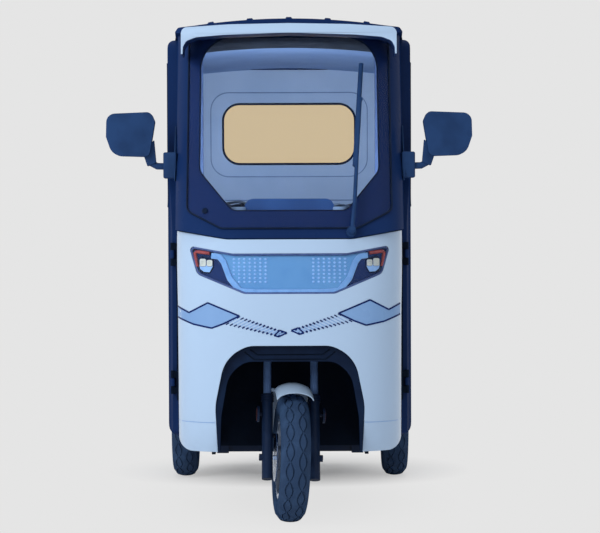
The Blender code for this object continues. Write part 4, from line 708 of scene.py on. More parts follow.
def loft(name, sections):
    """A closed solid through rings of points that all have the same count."""
    shape = bmesh.new()
    rings = [[shape.verts.new(point) for point in section] for section in sections]
    for first, second in zip(rings, rings[1:]):
        for i in range(len(first)):
            j = (i + 1) % len(first)
            shape.faces.new((first[i], first[j], second[j], second[i]))
    shape.faces.new(rings[0][::-1])
    shape.faces.new(rings[-1])
    bmesh.ops.recalc_face_normals(shape, faces=shape.faces)
    return made_of(shape, name)


def shaped(obj, operation, *others):
    """Applies a Boolean with each of the others, and removes them."""
    for other in others:
        step = obj.modifiers.new(operation.lower(), "BOOLEAN")
        step.operation = operation
        step.object = other
        step.solver = "EXACT"
    made = settle(obj)
    for other in others:
        bpy.data.objects.remove(other)
    return made


def cut(obj, *others):
    return shaped(obj, "DIFFERENCE", *others)


def trim(obj, *others):
    return shaped(obj, "INTERSECT", *others)


def joined(name, pieces):
    """Several meshes as one object."""
    shape = bmesh.new()
    for piece in pieces:
        mesh = piece.data.copy()
        mesh.transform(piece.matrix_world)
        shape.from_mesh(mesh)
        bpy.data.meshes.remove(mesh)
        bpy.data.objects.remove(piece)
    return made_of(shape, name)


def rounded(obj, width, segments=3, limit=35):
    """Rounds the sharp edges of a piece."""
    bevel = obj.modifiers.new("round", "BEVEL")
    bevel.width = width
    bevel.segments = segments
    bevel.limit_method = "ANGLE"
    bevel.angle_limit = math.radians(limit)
    bevel.use_clamp_overlap = True
    return settle(obj)


def placed(obj, matrix):
    obj.matrix_world = matrix @ obj.matrix_world
    return settle(obj)


def put(obj, finish, slot, *nodes, body="body", angle=32):
    """Finishes a piece, makes it ride on a body, and hides the CAD nodes that it stands for."""
    obj.data.materials.clear()
    obj.data.materials.append(FINISHES[finish])
    obj.data.shade_smooth()
    obj.data.set_sharp_from_angle(angle=math.radians(angle))
    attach(obj, body)
    if nodes:
        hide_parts(*nodes)
    return obj


# Body surfaces
def plan_curve(half, depth, power, front_y, back_y):
    """Points (x, y) round the front of a body, from its right side to its left."""
    quarter = []
    for angle in spread(0, math.pi / 2, PLAN_STEPS):
        x = half * math.sin(angle) ** (2 / power)
        quarter.append((x, front_y + depth * (1 - max(math.cos(angle), 0.0) ** (2 / power))))
    quarter.append((half, back_y))
    return flipped(quarter[1:]) + quarter


def curved(x, half, depth, power, limit=0.999):
    """How far such a front lies behind its foremost line at x, and its slope there."""
    u = min(abs(x) / half, limit)
    rest = 1 - u**power
    slope = depth / half * u ** (power - 1) * rest ** (1 / power - 1)
    return depth * (1 - rest ** (1 / power)), math.copysign(slope, x)


def smooth_value(table, z):
    """A smooth curve through a table of (z, value) rows."""
    rows = [table[0], *table, table[-1]]
    for i in range(1, len(rows) - 2):
        (z0, v0), (z1, v1), (z2, v2), (z3, v3) = rows[i - 1 : i + 3]
        if z <= z2 or i == len(rows) - 3:
            t = min(max((z - z1) / (z2 - z1), 0.0), 1.0)
            m1 = (v2 - v0) / (z2 - z0) * (z2 - z1) if z2 > z0 else 0.0
            m2 = (v3 - v1) / (z3 - z1) * (z2 - z1) if z3 > z1 else 0.0
            t2, t3 = t * t, t * t * t
            start = (2 * t3 - 3 * t2 + 1) * v1 + (t3 - 2 * t2 + t) * m1
            return start + (-2 * t3 + 3 * t2) * v2 + (t3 - t2) * m2
    return table[-1][1]


def seam_line(rise):
    low, high = FASCIA_TOP_Z + rise, FASCIA_TOP_Z + FASCIA_SIDE_RISE + rise
    return [(FASCIA_TOP_FLAT, low, 0.1), (FASCIA_HALF + FASCIA_FLARE, high, 0), (0.5, high, 0)]


def nose_half(z):
    return FASCIA_HALF + FASCIA_FLARE * smooth_value(FLARE, z)


def nose_row(z, grow=0.0):
    front = smooth_value(NOSE, z) - grow
    curve = plan_curve(nose_half(z) + grow, NOSE_DEPTH, NOSE_POWER, front, PANEL_BACK_Y)
    return [(x, y, z) for x, y in curve]


def nose_point(x, z, lift=0.0):
    """A point off the nose's surface."""
    back, slope = curved(x, nose_half(z), NOSE_DEPTH, NOSE_POWER, 0.9995)
    rise = (smooth_value(NOSE, z + 0.004) - smooth_value(NOSE, z - 0.004)) / 0.008
    return Vector((x, smooth_value(NOSE, z) + back, z)) + Vector((slope, -1, rise)).normalized() * lift


def pillar_y(z, foot_y):
    return foot_y + max(z - PILLAR_BEND_Z, 0.0) * PILLAR_LEAN


def screen_y(z):
    return SCREEN_BASE_Y + (z - FASCIA_TOP_Z) * math.tan(SCREEN_RAKE)


def screen_row(z):
    back_y = pillar_y(z, PANEL_BACK_Y)
    curve = plan_curve(SURROUND_HALF, SCREEN_DEPTH, SCREEN_POWER, screen_y(z), back_y)
    return [(x, y, z) for x, y in curve]


def screen_outward(x):
    slope = curved(x, SURROUND_HALF, SCREEN_DEPTH, SCREEN_POWER)[1]
    return Vector((slope, -1, math.tan(SCREEN_RAKE))).normalized()


def screen_point(x, z, lift=0.0):
    """A point off the windscreen's surface."""
    back = curved(x, SURROUND_HALF, SCREEN_DEPTH, SCREEN_POWER)[0]
    return Vector((x, screen_y(z) + back, z)) + screen_outward(x) * lift


def rear_lean(z):
    return REAR_LEAN * max(z - BELT_Z, 0.0) / (FRAME_TOP_Z - BELT_Z)


def rear_row(z):
    curve = plan_curve(REAR_HALF, REAR_DEPTH, REAR_POWER, rear_lean(z) - REAR_Y, -REAR_FRONT_Y)
    return [(x, -y, z) for x, y in curve]


def rear_inner(x, z, lift=0.0):
    """A point on the rear wall's inner face. A positive lift is into the cab."""
    back = curved(x, REAR_HALF - REAR_WALL, REAR_DEPTH - REAR_WALL * 0.6, REAR_POWER)[0]
    return Vector((x, REAR_Y - rear_lean(z) - REAR_WALL - back - lift, z))


def cells_of(outline, step):
    """A flat outline filled with small faces, as a mesh of (a, 0, b) points."""
    shape = bmesh.new()
    face = shape.faces.new([shape.verts.new((a, 0, b)) for a, b in outline])
    bmesh.ops.triangulate(shape, faces=[face])
    for axis, normal in ((0, Vector((1, 0, 0))), (2, Vector((0, 0, 1)))):
        values = [v.co[axis] for v in shape.verts]
        at = math.floor(min(values) / step) * step + step
        while at < max(values):
            geometry = shape.verts[:] + shape.edges[:] + shape.faces[:]
            bmesh.ops.bisect_plane(shape, geom=geometry, plane_co=normal * at, plane_no=normal, dist=1e-6)
            at += step
    return shape


def film(name, outlines, point_at, lift, thick=0.0005, step=0.012):
    """Thin films with these front-view outlines, laid on the surface that point_at gives."""
    whole = bmesh.new()
    for outline in outlines:
        shape = cells_of(outline, step)
        for vert in shape.verts:
            vert.co = point_at(vert.co.x, vert.co.z, lift)
        bmesh.ops.recalc_face_normals(shape, faces=shape.faces)
        if sum(face.normal.y for face in shape.faces) > 0:
            bmesh.ops.reverse_faces(shape, faces=shape.faces)
        part = bpy.data.meshes.new(name)
        shape.to_mesh(part)
        shape.free()
        whole.from_mesh(part)
        bpy.data.meshes.remove(part)
    return settle(walled(made_of(whole, name), thick, 1, False), clean=False)


# Stage
def make_camera():
    camera = bpy.data.cameras.new("camera")
    camera.lens = LENS
    camera.clip_end = 200
    eye = new_object("camera", camera)
    eye.location = CAMERA_PLACE
    eye.rotation_euler = (math.pi / 2 - CAMERA_PITCH, CAMERA_ROLL, -CAMERA_YAW)
    bpy.context.scene.camera = eye
    bpy.context.scene.view_settings.view_transform = "Standard"


def make_world():
    world = bpy.data.worlds.new("studio")
    bpy.context.scene.world = world
    world.use_nodes = True
    graph = Graph(world.node_tree)
    light = world.node_tree.nodes["Background"]
    light.inputs["Color"].default_value = (1, 1, 1, 1)
    light.inputs["Strength"].default_value = 0.42
    seen = graph.add("ShaderNodeBackground", Color=rgb(BACKDROP))
    graph.show(graph.blend(graph.plain_rays(), light.outputs[0], seen.outputs[0]))


def make_floor():
    """A floor that takes the shadow near the vehicle and turns into the backdrop further out."""
    mesh = bpy.data.meshes.new("floor")
    corners = [(-FLOOR_HALF, -FLOOR_HALF, 0), (FLOOR_HALF, -FLOOR_HALF, 0)]
    corners += [(FLOOR_HALF, FLOOR_HALF, 0), (-FLOOR_HALF, FLOOR_HALF, 0)]
    mesh.from_pydata(corners, [], [(0, 1, 2, 3)])
    floor = new_object("floor", mesh)
    paper = Finish("floor_paper", FLOOR_PAPER, 0.95, IOR=1.2)
    paper.mottle(FLOOR_PATCH, 0.6)
    plain = paper.add("ShaderNodeEmission", Color=rgb(BACKDROP))
    # Shadow zones as (middle y, half width, half length, least share of backdrop)
    zones = []
    for middle, across, along, least in ((0.85, 0.60, 0.60, 0.22), (-0.20, 0.50, 1.00, 0.92)):
        distance = paper.add("ShaderNodeVectorMath", operation="LENGTH")
        paper.feed(distance.inputs[0], paper.mapped((1 / across, 1 / along, 1), (0, -middle / along, 0)))
        zones.append(paper.ranged(distance.outputs["Value"], 0.35, 1.25, least, 1.0))
    share = paper.math("MULTIPLY", paper.math("MINIMUM", *zones), paper.plain_rays())
    paper.show(paper.blend(share, paper.shader.outputs[0], plain.outputs[0]))
    mesh.materials.append(paper.material)


def make_lamps():
    # Soft boxes as (name, place, aim, size, power). The last one is the daylight inside the cab
    middle = (0, 0, 0.8)
    boxes = (
        ("key", (-3.8, -4.8, 3.2), middle, 3.2, 215),
        ("fill", (3.6, -4.8, 2.4), middle, 3.0, 24),
        ("top", (0.0, 0.2, 5.2), middle, 4.6, 70),
        ("back", (0.6, 4.8, 3.2), middle, 3.4, 40),
        ("cab", (0.0, -0.28, 1.12), (0, 0.97, 1.15), 0.5, 9),
    )
    for name, place, target, across, power in boxes:
        lamp = bpy.data.lights.new(name, "AREA")
        lamp.shape = "SQUARE"
        lamp.size = across
        lamp.energy = power
        obj = new_object(name, lamp)
        obj.location = place
        obj.rotation_euler = (Vector(target) - Vector(place)).to_track_quat("-Z", "Y").to_euler()
        obj.visible_glossy = obj.visible_camera = obj.visible_transmission = False


# Finish, then the CAD nodes that have it. A star stands for left and right
CAD_FINISHES = {
    "trim": "arch_trim",
    "plastic": "wheel_well rear_bumper plate_holder wheel_house_* battery_box hinge_strip_*",
    "mat": "floor_pan",
    "dash": "dashboard",
    "post": "side_frame_*",
    "steel": "chassis rear_axle fork_crown fork_leg_* handlebar",
    "chrome": "front_axle front_brake_disc",
    "stanchion_painted_reflection": "stanchion_*",
    "door_glass": "quarter_glass_* door_glass_*",
    "mirror": "mirror_glass_*",
    "white": "front_fascia front_fender sun_visor rear_body",
    "black": "windscreen_surround door_* rear_cabin roof",
    "shell": "wiper mirror_*",
    "alloy": "front_wheel_rim rear_wheel_*_rim",
    "rubber": "front_wheel_tyre rear_wheel_*_tyre",
    "screen_glass": "windscreen_glass",
    "lamp_glass": "headlamp_lens",
    "lamp": "headlamp_housing",
    "rear_glass": "rear_window_glass",
    "red": "tail_lamp_*",
    "seat": "driver_cushion driver_backrest bench_cushion bench_backrest",
}


def finish_cad_nodes():
    for finish, names in CAD_FINISHES.items():
        for name in names.split():
            for word, _ in SIDES:
                for slot in NODES[name.replace("*", word)].material_slots:
                    slot.material = FINISHES[finish]


# Nose
def make_fascia():
    heights = [0.243, 0.255, 0.270, *spread(0.290, 0.850, 16)]
    heights += [0.870, 0.890, 0.910, 0.930, 0.950, 0.970, 0.985]
    fascia = sheet("fascia", [nose_row(z) for z in heights], FASCIA_THICK)
    low, high = CORNER_SEAM_Z - SEAM_GAP / 2, CORNER_SEAM_Z + SEAM_GAP / 2
    groove = sheet("groove", [nose_row(low, 0.02), nose_row(high, 0.02)], 0.024)
    fascia = trim(fascia, cutter([*seam_line(0.0), *FASCIA_VIEW], VIEW_CUT_Y))
    fascia = cut(fascia, cutter(ARCH, ARCH_CUT_Y), cutter(LAMP, LAMP_CUT_Y), groove)
    put(fascia, "white", "white_panel", "front_fascia")
    # A thin film of the darker pale decal blue lies over each corner seam: painted shade in the seam
    seam = [(0.2492, low), (0.3760, low), (0.3760, low + 0.0022), (0.2490, low + 0.0022)]
    seams = [sided(seam, side) for _, side in SIDES]
    put(film("corner_seam_shade", seams, nose_point, 0.0002), "pale", "white_panel")


def in_lamp(obj, finish, *nodes, angle=32):
    put(obj, finish, "lamp_back", *nodes, angle=angle)


def make_lamp_bar():
    rows = [nose_row(z) for z in spread(0.740, 0.945, 14)]
    lens = sheet("lamp_bar_lens", rows, GLASS_THICK)
    put(trim(lens, cutter(grown(LAMP, -0.0006), LAMP_CUT_Y)), "lamp_glass", "glass", "headlamp_lens")
    tray = sheet("lamp_bar_tray", rows, LAMP_DEPTH + LAMP_WALL, -FASCIA_THICK - GLASS_GAP)
    tray = trim(tray, cutter(grown(LAMP, 0.010), LAMP_CUT_Y))
    pocket = sheet("pocket", rows, LAMP_DEPTH + 0.012, -FASCIA_THICK + 0.012)
    pocket = trim(pocket, cutter(grown(LAMP, -0.0005), LAMP_CUT_Y))
    in_lamp(cut(tray, pocket), "lamp", "headlamp_housing")

    # A tray face just behind the lens carries the lamp's parts, inside an outline rim
    in_lamp(film("lamp_bar_face", [outline_of(grown(LAMP, -0.004))], nose_point, LAMP_FACE, 0.001), "lamp")
    rim_line = outline_of(grown(LAMP, -0.0022))
    in_lamp(ring("lamp_bar_rim", rim_line, 0.03, lambda x, z: nose_point(x, z, -0.004), 0.0038, 4), "bezel")

    # Light guides: from the top edge down each side and along the bottom, as (x, z)
    guide = [(0.262, 0.898), (0.236, 0.895), (0.221, 0.877), (0.200, 0.822), (0.165, 0.780), (0.110, 0.776)]
    soft = filleted([(*guide[0], 0), *[(x, z, 0.012) for x, z in guide[1:-1]], (*guide[-1], 0)])
    route = dense(mirrored(soft), 0.02)
    light = film("lamp_bar_guide", band(route, GUIDE_WIDTH), nose_point, LAMP_FACE + 0.0045, 0.0030)
    in_lamp(light, "guide")
    edges = []
    for line in beside(route, GUIDE_WIDTH):
        edges.append(tube("edge", [nose_point(x, z, ON_FACE + 0.001) for x, z in line], 0.0016, sides=2))
    in_lamp(joined("lamp_bar_guide_edges", edges), "dots")

    # Corner bays with their marker strips
    corner = [(0.2600, 0.9130), (0.3290, 0.9240), (0.3020, 0.8390), (0.1660, 0.7820)]
    corner += [(0.2030, 0.8230), (0.2240, 0.8760), (0.2400, 0.8960)]
    strip = [(0.2680, 0.9060), (0.3140, 0.9115), (0.3195, 0.9060), (0.3110, 0.8600)]
    for word, side in SIDES:
        bay = film("lamp_bar_corner_" + word, [sided(corner, side)], nose_point, LAMP_FACE + 0.0012, 0.001)
        in_lamp(bay, "bay")
        line = [nose_point(x, z, ON_FACE + 0.002) for x, z in dense(sided(strip, side), 0.015)]
        in_lamp(tube("lamp_bar_marker_" + word, line, 0.0060), "amber")
        make_projector(word, side)

    # Two fields of small lenses, as columns and rows of bumps
    dots = []
    for _, side in SIDES:
        for i in range(DOT_COLUMNS):
            for j in range(DOT_ROWS):
                x, z = side * (0.0795 + i * 0.0178), 0.8878 - j * 0.01275
                if abs(x) <= 0.178 or z >= 0.826:
                    dots.append(lens_bump(nose_point(x, z, ON_FACE - 0.002), 0.0040))
    in_lamp(joined("lamp_bar_dots", dots), "dots", angle=80)


def lens_bump(centre, radius):
    """A small flattened dome that faces forward."""
    shape = bmesh.new()
    bmesh.ops.create_uvsphere(shape, u_segments=10, v_segments=6, radius=radius)
    bmesh.ops.scale(shape, vec=(1.25, 0.6, 1), verts=shape.verts)
    bmesh.ops.translate(shape, vec=centre, verts=shape.verts)
    return made_of(shape, "bump")


def make_projector(word, side):
    """The lamp in each end of the bar: a dark shell, a bowl and two squarish chambers."""
    # Films as (name, corners, lift over the tray face, thickness, finish)
    shell = [(0.2560, 0.8560, 0.008), (0.2560, 0.8880, 0.008), (0.3040, 0.8990, 0.010)]
    shell += [(0.3010, 0.8420, 0.012), (0.2700, 0.8380, 0.010)]
    bowl = [(0.2550, 0.8660), (0.3040, 0.8690), (0.3000, 0.8530), (0.2880, 0.8440), (0.2680, 0.8425)]
    bowl = [(x, z, 0.004) for x, z in bowl]
    films = (("shell", shell, -0.001, 0.003, "trim"), ("bowl", bowl, 0.002, 0.0015, "dots"))
    for name, corners, lift, thick, finish in films:
        outline = filleted(sided(corners, side))
        in_lamp(film(f"projector_{name}_{word}", [outline], nose_point, ON_FACE + lift, thick), finish)
    chambers, rings = [], []
    # Chambers as (inner x, outer x, bottom z, top z)
    for x0, x1, z0, z1 in ((0.2580, 0.2770, 0.8620, 0.8830), (0.2800, 0.3010, 0.8620, 0.8870)):
        corners = [(side * x, z, 0.005) for x, z in ((x0, z0), (x1, z0), (x1, z1), (x0, z1))]
        outline = filleted(corners)
        chambers.append(film("chamber", [outline], nose_point, ON_FACE + 0.0042, 0.0015))
        middle = nose_point(side * (x0 + x1) / 2, (z0 + z1) / 2, ON_FACE + 0.0040)
        chambers.append(lens_bump(middle, 0.0062))
        rings.append(ring("ring", outline, 0.02, lambda x, z: nose_point(x, z, ON_FACE + 0.0042), 0.0011, 2))
    in_lamp(joined("projector_chambers_" + word, chambers), "lens", angle=80)
    in_lamp(joined("projector_rings_" + word, rings), "bezel", angle=80)


def between(start, end, share):
    return tuple(a + (b - a) * share for a, b in zip(start, end))


def stroke(start, end, width):
    """A straight stroke of this width as a four-cornered outline."""
    a, b = Vector(start), Vector(end)
    along = (b - a).normalized()
    across = Vector((-along.y, along.x)) * width / 2
    return [tuple(a + across), tuple(b + across), tuple(b - across), tuple(a - across)]


def make_decals():
    """Common diamond and hatch stripes on both sides of the nose."""
    # Corners of the diamond band and of the closed tip near the middle, as (x, z)
    diamond = [(0.3760, 0.7266), (0.3350, 0.7072), (0.2715, 0.7405), (0.1665, 0.6975)]
    diamond += [(0.2200, 0.6715), (0.2585, 0.6570), (0.3195, 0.6690), (0.3760, 0.6905)]
    tip = [(0.0330, 0.6500), (0.0100, 0.6420), (0.0370, 0.6290), (0.0520, 0.6330)]
    strokes, ends = [], []
    for t in spread(0, 1, HATCH_COUNT - 1):
        top = (0.1640 - 0.1540 * t, 0.6960 - 0.0540 * t)
        low = (0.2110 - 0.1730 * t, 0.6690 - 0.0390 * t)
        width = 0.0024 + 0.0034 * t
        strokes.append(stroke(top, low, width))
        for at, to in ((top, low), (low, top)):
            ends.append(stroke(at, between(at, to, 0.22), width + 0.0012))
    edges = [stroke(a, b, 0.0054) for a, b in zip(diamond, diamond[1:])]
    edges += [stroke(a, b, 0.0048) for a, b in zip(tip, [*tip[1:], tip[0]])]
    # Films as (name, outlines, lift, finish)
    films = (
        ("decal_diamond_", [diamond], 0.0003, "decal"),
        ("decal_hatch_", [*strokes, tip], 0.0003, "pale"),
        ("decal_edge_", edges + ends, 0.0008, "ink"),
    )
    # The +X side's film sits a little higher and further in, as (word, side, inwards, rise)
    for word, side, inwards, rise in (("left", 1, 0.0055, 0.008), ("right", -1, 0.0, 0.0)):
        for name, shapes, lift, finish in films:
            moved = [[(side * (x - inwards), z + rise) for x, z in shape] for shape in shapes]
            put(film(name + word, moved, nose_point, lift), finish, "white_panel")


def make_arch_details():
    """The stepped moulding on the arch trim."""
    lines = []
    for half in ([(0.150, 0.577), (0.118, 0.552)], [(0.132, 0.585), (0.108, 0.568)]):
        lines.append(tube("step", [(x, -0.9925, z) for x, z in mirrored(half)], 0.0022, sides=2))
    put(joined("arch_moulding", lines), "plastic", "black_plastic")


# Windscreen and wiper
def make_windscreen():
    rows = [screen_row(z) for z in (0.930, 0.965, PILLAR_BEND_Z, 1.10, 1.25, 1.40, 1.55, FRAME_TOP_Z)]
    surround = sheet("screen_surround", rows, SURROUND_THICK)
    seam = cutter([*seam_line(SEAM_GAP), (0.5, 0.5, 0)], SCREEN_CUT_Y)
    foot_y, half = FRAME_FRONT_Y - SEAT_GAP, FRAME_HALF + SEAT_GAP
    side_view = [(foot_y, 0.5), (foot_y, PILLAR_BEND_Z), (pillar_y(1.8, foot_y), 1.8), (0.0, 1.8), (0.0, 0.5)]
    frame_room = prism("frame_room", [side_view], "X", -half, half)
    surround = cut(surround, cutter(SCREEN_CLEAR, SCREEN_CUT_Y), seam, frame_room)
    put(surround, "black", "black_panel", "windscreen_surround")
    pane = sheet("screen_pane", rows, GLASS_THICK, GLASS_THICK + GLASS_GAP)
    put(trim(pane, cutter(SCREEN_GLASS, SCREEN_CUT_Y)), "screen_glass", "glass", "windscreen_glass")
    # Lines round the glass as (name, half outline, lift, radius)
    lines = (
        ("screen_seal", SCREEN_GLASS, 0.0035, 0.0032),
        ("screen_inner_edge", SCREEN_CLEAR, -0.001, 0.0028),
    )
    for name, half_line, lift, radius in lines:
        seal = ring(name, outline_of(half_line), 0.03, lambda x, z: screen_point(x, z, lift), radius)
        put(seal, "trim", "black_plastic")
    plug_at = screen_point(-0.2815, 1.0445, GLASS_THICK + GLASS_GAP + 0.0004)
    plug = rod("screen_plug", plug_at, plug_at + screen_outward(-0.2815) * 0.003, 0.0100)
    put(rounded(plug, 0.001, 2), "trim", "black_plastic")


def make_wiper():
    pivot, elbow, bend, hook = (0.205, 0.972), (0.2135, 1.060), (0.2250, 1.240), (0.2370, 1.415)
    heel, tip = (0.2185, 1.190), (0.2440, 1.543)
    spots = [between(heel, tip, t) for t in spread(0, 1, 12)]
    base, outward = screen_point(*pivot, SEAT_GAP), screen_outward(pivot[0])
    route = [base + outward * 0.028]
    route += [screen_point(*at, lift) for at, lift in ((elbow, 0.030), (bend, 0.027), (hook, 0.022))]
    low = screen_point(*hook, 0.009)
    pieces = [
        tube("rubber", [screen_point(x, z, 0.0085) for x, z in spots], 0.0036, sides=2),
        tube("spine", [screen_point(x, z, 0.0160) for x, z in spots], 0.0082, sides=3),
        rod("foot", base, base + outward * 0.010, 0.017),
        rod("post", base, base + outward * 0.034, 0.012),
        rod("cap", base + outward * 0.034, base + outward * 0.037, 0.008),
        tube("arm", route, 0.0068, sides=3),
        rod("hinge", low, low + screen_outward(hook[0]) * 0.019, 0.0085),
    ]
    put(joined("wiper_set", pieces), "shell", "black_plastic", "wiper", angle=45)


# Roof, visor, mirrors
def roof_top_z(x, half):
    return ROOF_TOP_Z - ROOF_DROP * (x / (half - ROOF_SHOULDER)) ** 2


def roof_section(half):
    """The roof across the vehicle, as (x, z) all the way round, with its ribs on top."""

    def top(x, rise=0.0):
        return roof_top_z(x, half) + rise

    right = [(0.0, ROOF_TOP_Z + RIB_HEIGHT)]
    for i in range(RIB_COUNT // 2 + 1):
        near, far = i * RIB_PITCH - RIB_WIDTH / 2, i * RIB_PITCH + RIB_WIDTH / 2
        if i:
            start = right[-1][0]
            right += [(a, top(a)) for a in [start + (near - start) * t for t in (0.2, 0.4, 0.6, 0.8)]]
            right += [(near, top(near)), (near + 0.003, top(near, RIB_HEIGHT))]
        right += [(far - 0.003, top(far, RIB_HEIGHT)), (far, top(far))]
    low, start = FRAME_TOP_Z + SEAT_GAP, right[-1][0]
    right += [(a, top(a)) for a in [start + (half - 0.040 - start) * t for t in (0.33, 0.66)]]
    bend = [
        (*right[-1], 0),
        (half - 0.010, ROOF_TOP_Z - ROOF_DROP + 0.001, 0.012),
        (half, low + 0.006, 0.004),
        (half, low + 0.002, 0),
        (half - 0.010, low, 0),
    ]
    right += filleted(bend)[1:]
    return right + [(-x, z) for x, z in reversed(right) if x > 0]


def make_roof():
    back = REAR_Y - REAR_LEAN + 0.004
    stations = (
        (ROOF_FRONT_Y, ROOF_FRONT_HALF),
        (ROOF_FRONT_Y + 0.200, ROOF_FRONT_HALF + 0.008),
        (REAR_FRONT_Y - 0.150, ROOF_REAR_HALF - 0.008),
        (REAR_FRONT_Y, ROOF_REAR_HALF),
        (back, ROOF_REAR_HALF),
    )
    roof = loft("roof_skin", [[(x, y, z) for x, z in roof_section(half)] for y, half in stations])
    plan = [
        (ROOF_FRONT_HALF + 0.001, ROOF_FRONT_Y - 0.002, 0.030),
        (ROOF_FRONT_HALF + 0.010, ROOF_FRONT_Y + 0.200, 0.6),
        (ROOF_REAR_HALF + 0.001, REAR_FRONT_Y, 0.6),
        (ROOF_REAR_HALF + 0.001, back - 0.004, 0.12),
    ]
    keep = prism("roof_plan", [outline_of(plan)], "Z", 1.60, 1.80)
    room_top = roof_top_z(ROOF_ROOM_HALF, ROOF_FRONT_HALF) - ROOF_SKIN
    start, end = (-ROOF_ROOM_HALF, ROOF_FRONT_Y + 0.045, 1.60), (ROOF_ROOM_HALF, back - 0.060, room_top)
    room = box("roof_room", start, end)
    put(cut(trim(roof, keep), room), "black", "black_panel", "roof", angle=28)


def make_visor():
    half, low, front = FRAME_HALF + 0.003, FRAME_TOP_Z - 0.084, ROOF_FRONT_Y - 0.150
    outer = [(half, low, 0), (half, FRAME_TOP_Z + 0.0055, 0.022), (0.200, FRAME_TOP_Z + 0.0159, 0.6)]
    outline = filleted([*outer, (0.0, FRAME_TOP_Z + 0.0196, 0), *flipped(outer)])
    visor = prism("visor_shell", [outline], "Y", front, ROOF_FRONT_Y - SEAT_GAP)
    inner = [
        (0.218, FRAME_TOP_Z - 0.0196, 0.5),
        (half - 0.050, FRAME_TOP_Z - 0.0276, 0.06),
        (half - 0.018, FRAME_TOP_Z - 0.0400, 0.02),
        (half - 0.0070, FRAME_TOP_Z - 0.0597, 0.02),
        (half - 0.005, low - 0.01, 0),
    ]
    under = filleted([(0.0, FRAME_TOP_Z - 0.0129, 0), *inner, *flipped(inner)])
    hollow = prism("visor_under", [under], "Y", front - 0.05, ROOF_FRONT_Y + 0.10)
    corner = (half - 0.020, ROOF_FRONT_Y + 0.01, FRAME_TOP_Z + SEAT_GAP)
    room = box("visor_room", (-half + 0.020, ROOF_FRONT_Y - 0.030, 1.55), corner)
    visor = rounded(cut(visor, hollow, room), 0.0015, 2, 50)
    put(visor, "white", "white_panel", "sun_visor", angle=28)
    # The underside and the inward faces get the dark lamp bay blue: painted shade, where the white visor lies
    # in shadow
    visor.data.materials.append(FINISHES["bay"])
    for face in visor.data.polygons:
        inwards = face.normal.x * face.center.x < 0 and abs(face.normal.x) > 0.4
        if (face.normal.z < -0.3 or inwards) and abs(face.normal.y) < 0.5:
            face.material_index = 1


def make_mirrors():
    shell_view = [(0.456, 1.352, 0.02), (0.476, 1.232, 0.02), (0.600, 1.236, 0.045)]
    shell_view += [(0.622, 1.300, 0.0), (0.620, 1.378, 0.03), (0.470, 1.384, 0.022)]
    neck_view = [(0.453, 1.212, 0), (0.483, 1.200, 0), (0.500, 1.250, 0), (0.460, 1.290, 0)]
    route = [(0.415, -0.761, 1.200), (0.450, -0.761, 1.201), (0.476, -0.763, 1.214), (0.482, -0.768, 1.245)]
    gasket_view = [(-0.806, 1.150, 0.02), (-0.700, 1.150, 0.02), (-0.650, 1.330, 0.02), (-0.700, 1.345, 0.02)]
    for word, side in SIDES:
        shell = prism("shell", [filleted(sided(shell_view, side))], "Y", -0.800, -0.752)
        shell = rounded(shell, 0.010, 4, 50)
        neck = rounded(prism("neck", [filleted(sided(neck_view, side))], "Y", -0.778, -0.755), 0.003, 2, 50)
        arm = tube("arm", sided(route, side), 0.0115)
        block = box("block", (side * 0.384, -0.782, 1.159), (side * 0.429, -0.738, 1.248))
        block = rounded(block, 0.006, 3, 50)
        gasket = prism("gasket", [filleted(gasket_view)], "X", side * 0.3885, side * 0.3925)
        mirror = joined("mirror_set_" + word, [shell, neck, arm, block, gasket])
        put(mirror, "shell", "black_plastic", "mirror_" + word, angle=40)


# Rear body
def make_rear_body():
    halves = []
    upper_rows = [rear_row(z) for z in (BELT_Z, FRAME_TOP_Z)]
    for name, low, high in (("lower", REAR_BOTTOM_Z, BELT_Z - SEAM_GAP), ("upper", BELT_Z, FRAME_TOP_Z)):
        wall = sheet("rear_" + name, [rear_row(low), rear_row(high)], REAR_WALL, faces_back=True)
        posts = []
        for _, side in SIDES:
            start = (side * (FRAME_HALF + SEAT_GAP), REAR_FRONT_Y, low)
            end = (side * (REAR_HALF - REAR_WALL / 2), REAR_FRONT_Y + REAR_WALL, high)
            posts.append(box("post", start, end))
        halves.append(shaped(wall, "UNION", *posts))
    lower, upper = halves
    arches = side_cutter(circle(REAR_AXLE_Y, TYRE_RADIUS, WHEEL_ARCH_RADIUS, 96))
    put(cut(lower, arches), "white", "white_panel", "rear_body")
    quarter = filleted(QUARTER_WINDOW)
    sides = side_cutter(quarter)
    put(cut(upper, cutter(REAR_WINDOW, REAR_CUT_Y, CABIN_CUT_Y), sides), "black", "black_panel", "rear_cabin")
    pane = sheet("rear_pane", upper_rows, GLASS_THICK, -0.010, faces_back=True)
    pane = trim(pane, cutter(grown(REAR_WINDOW, -0.0005), REAR_CUT_Y, CABIN_CUT_Y))
    put(pane, "rear_glass", "glass", "rear_window_glass")
    for word, side in SIDES:
        out = side * (REAR_HALF + 0.0005)
        seal = ring("quarter_seal_" + word, quarter, 0.05, lambda y, z: (out, y, z), 0.0035)
        put(seal, "trim", "black_plastic")


def resampled(outline, count):
    """The same closed outline as this many points, spaced by angle about the rear window's middle."""
    middle = Vector((0, LINING_MIDDLE_Z))
    found = []
    for angle in spread(0, 2 * math.pi, count)[:-1]:
        ray = Vector((math.cos(angle), math.sin(angle)))
        reach = 0.0
        for a, b in zip(outline, [*outline[1:], outline[0]]):
            p, q = Vector(a) - middle, Vector(b) - middle
            edge = q - p
            across = ray.x * edge.y - ray.y * edge.x
            if abs(across) < 1e-12:
                continue
            along = (p.x * edge.y - p.y * edge.x) / across
            share = (p.x * ray.y - p.y * ray.x) / across
            if along > reach and -1e-9 <= share <= 1 + 1e-9:
                reach = along
        found.append(tuple(middle + ray * reach))
    return found


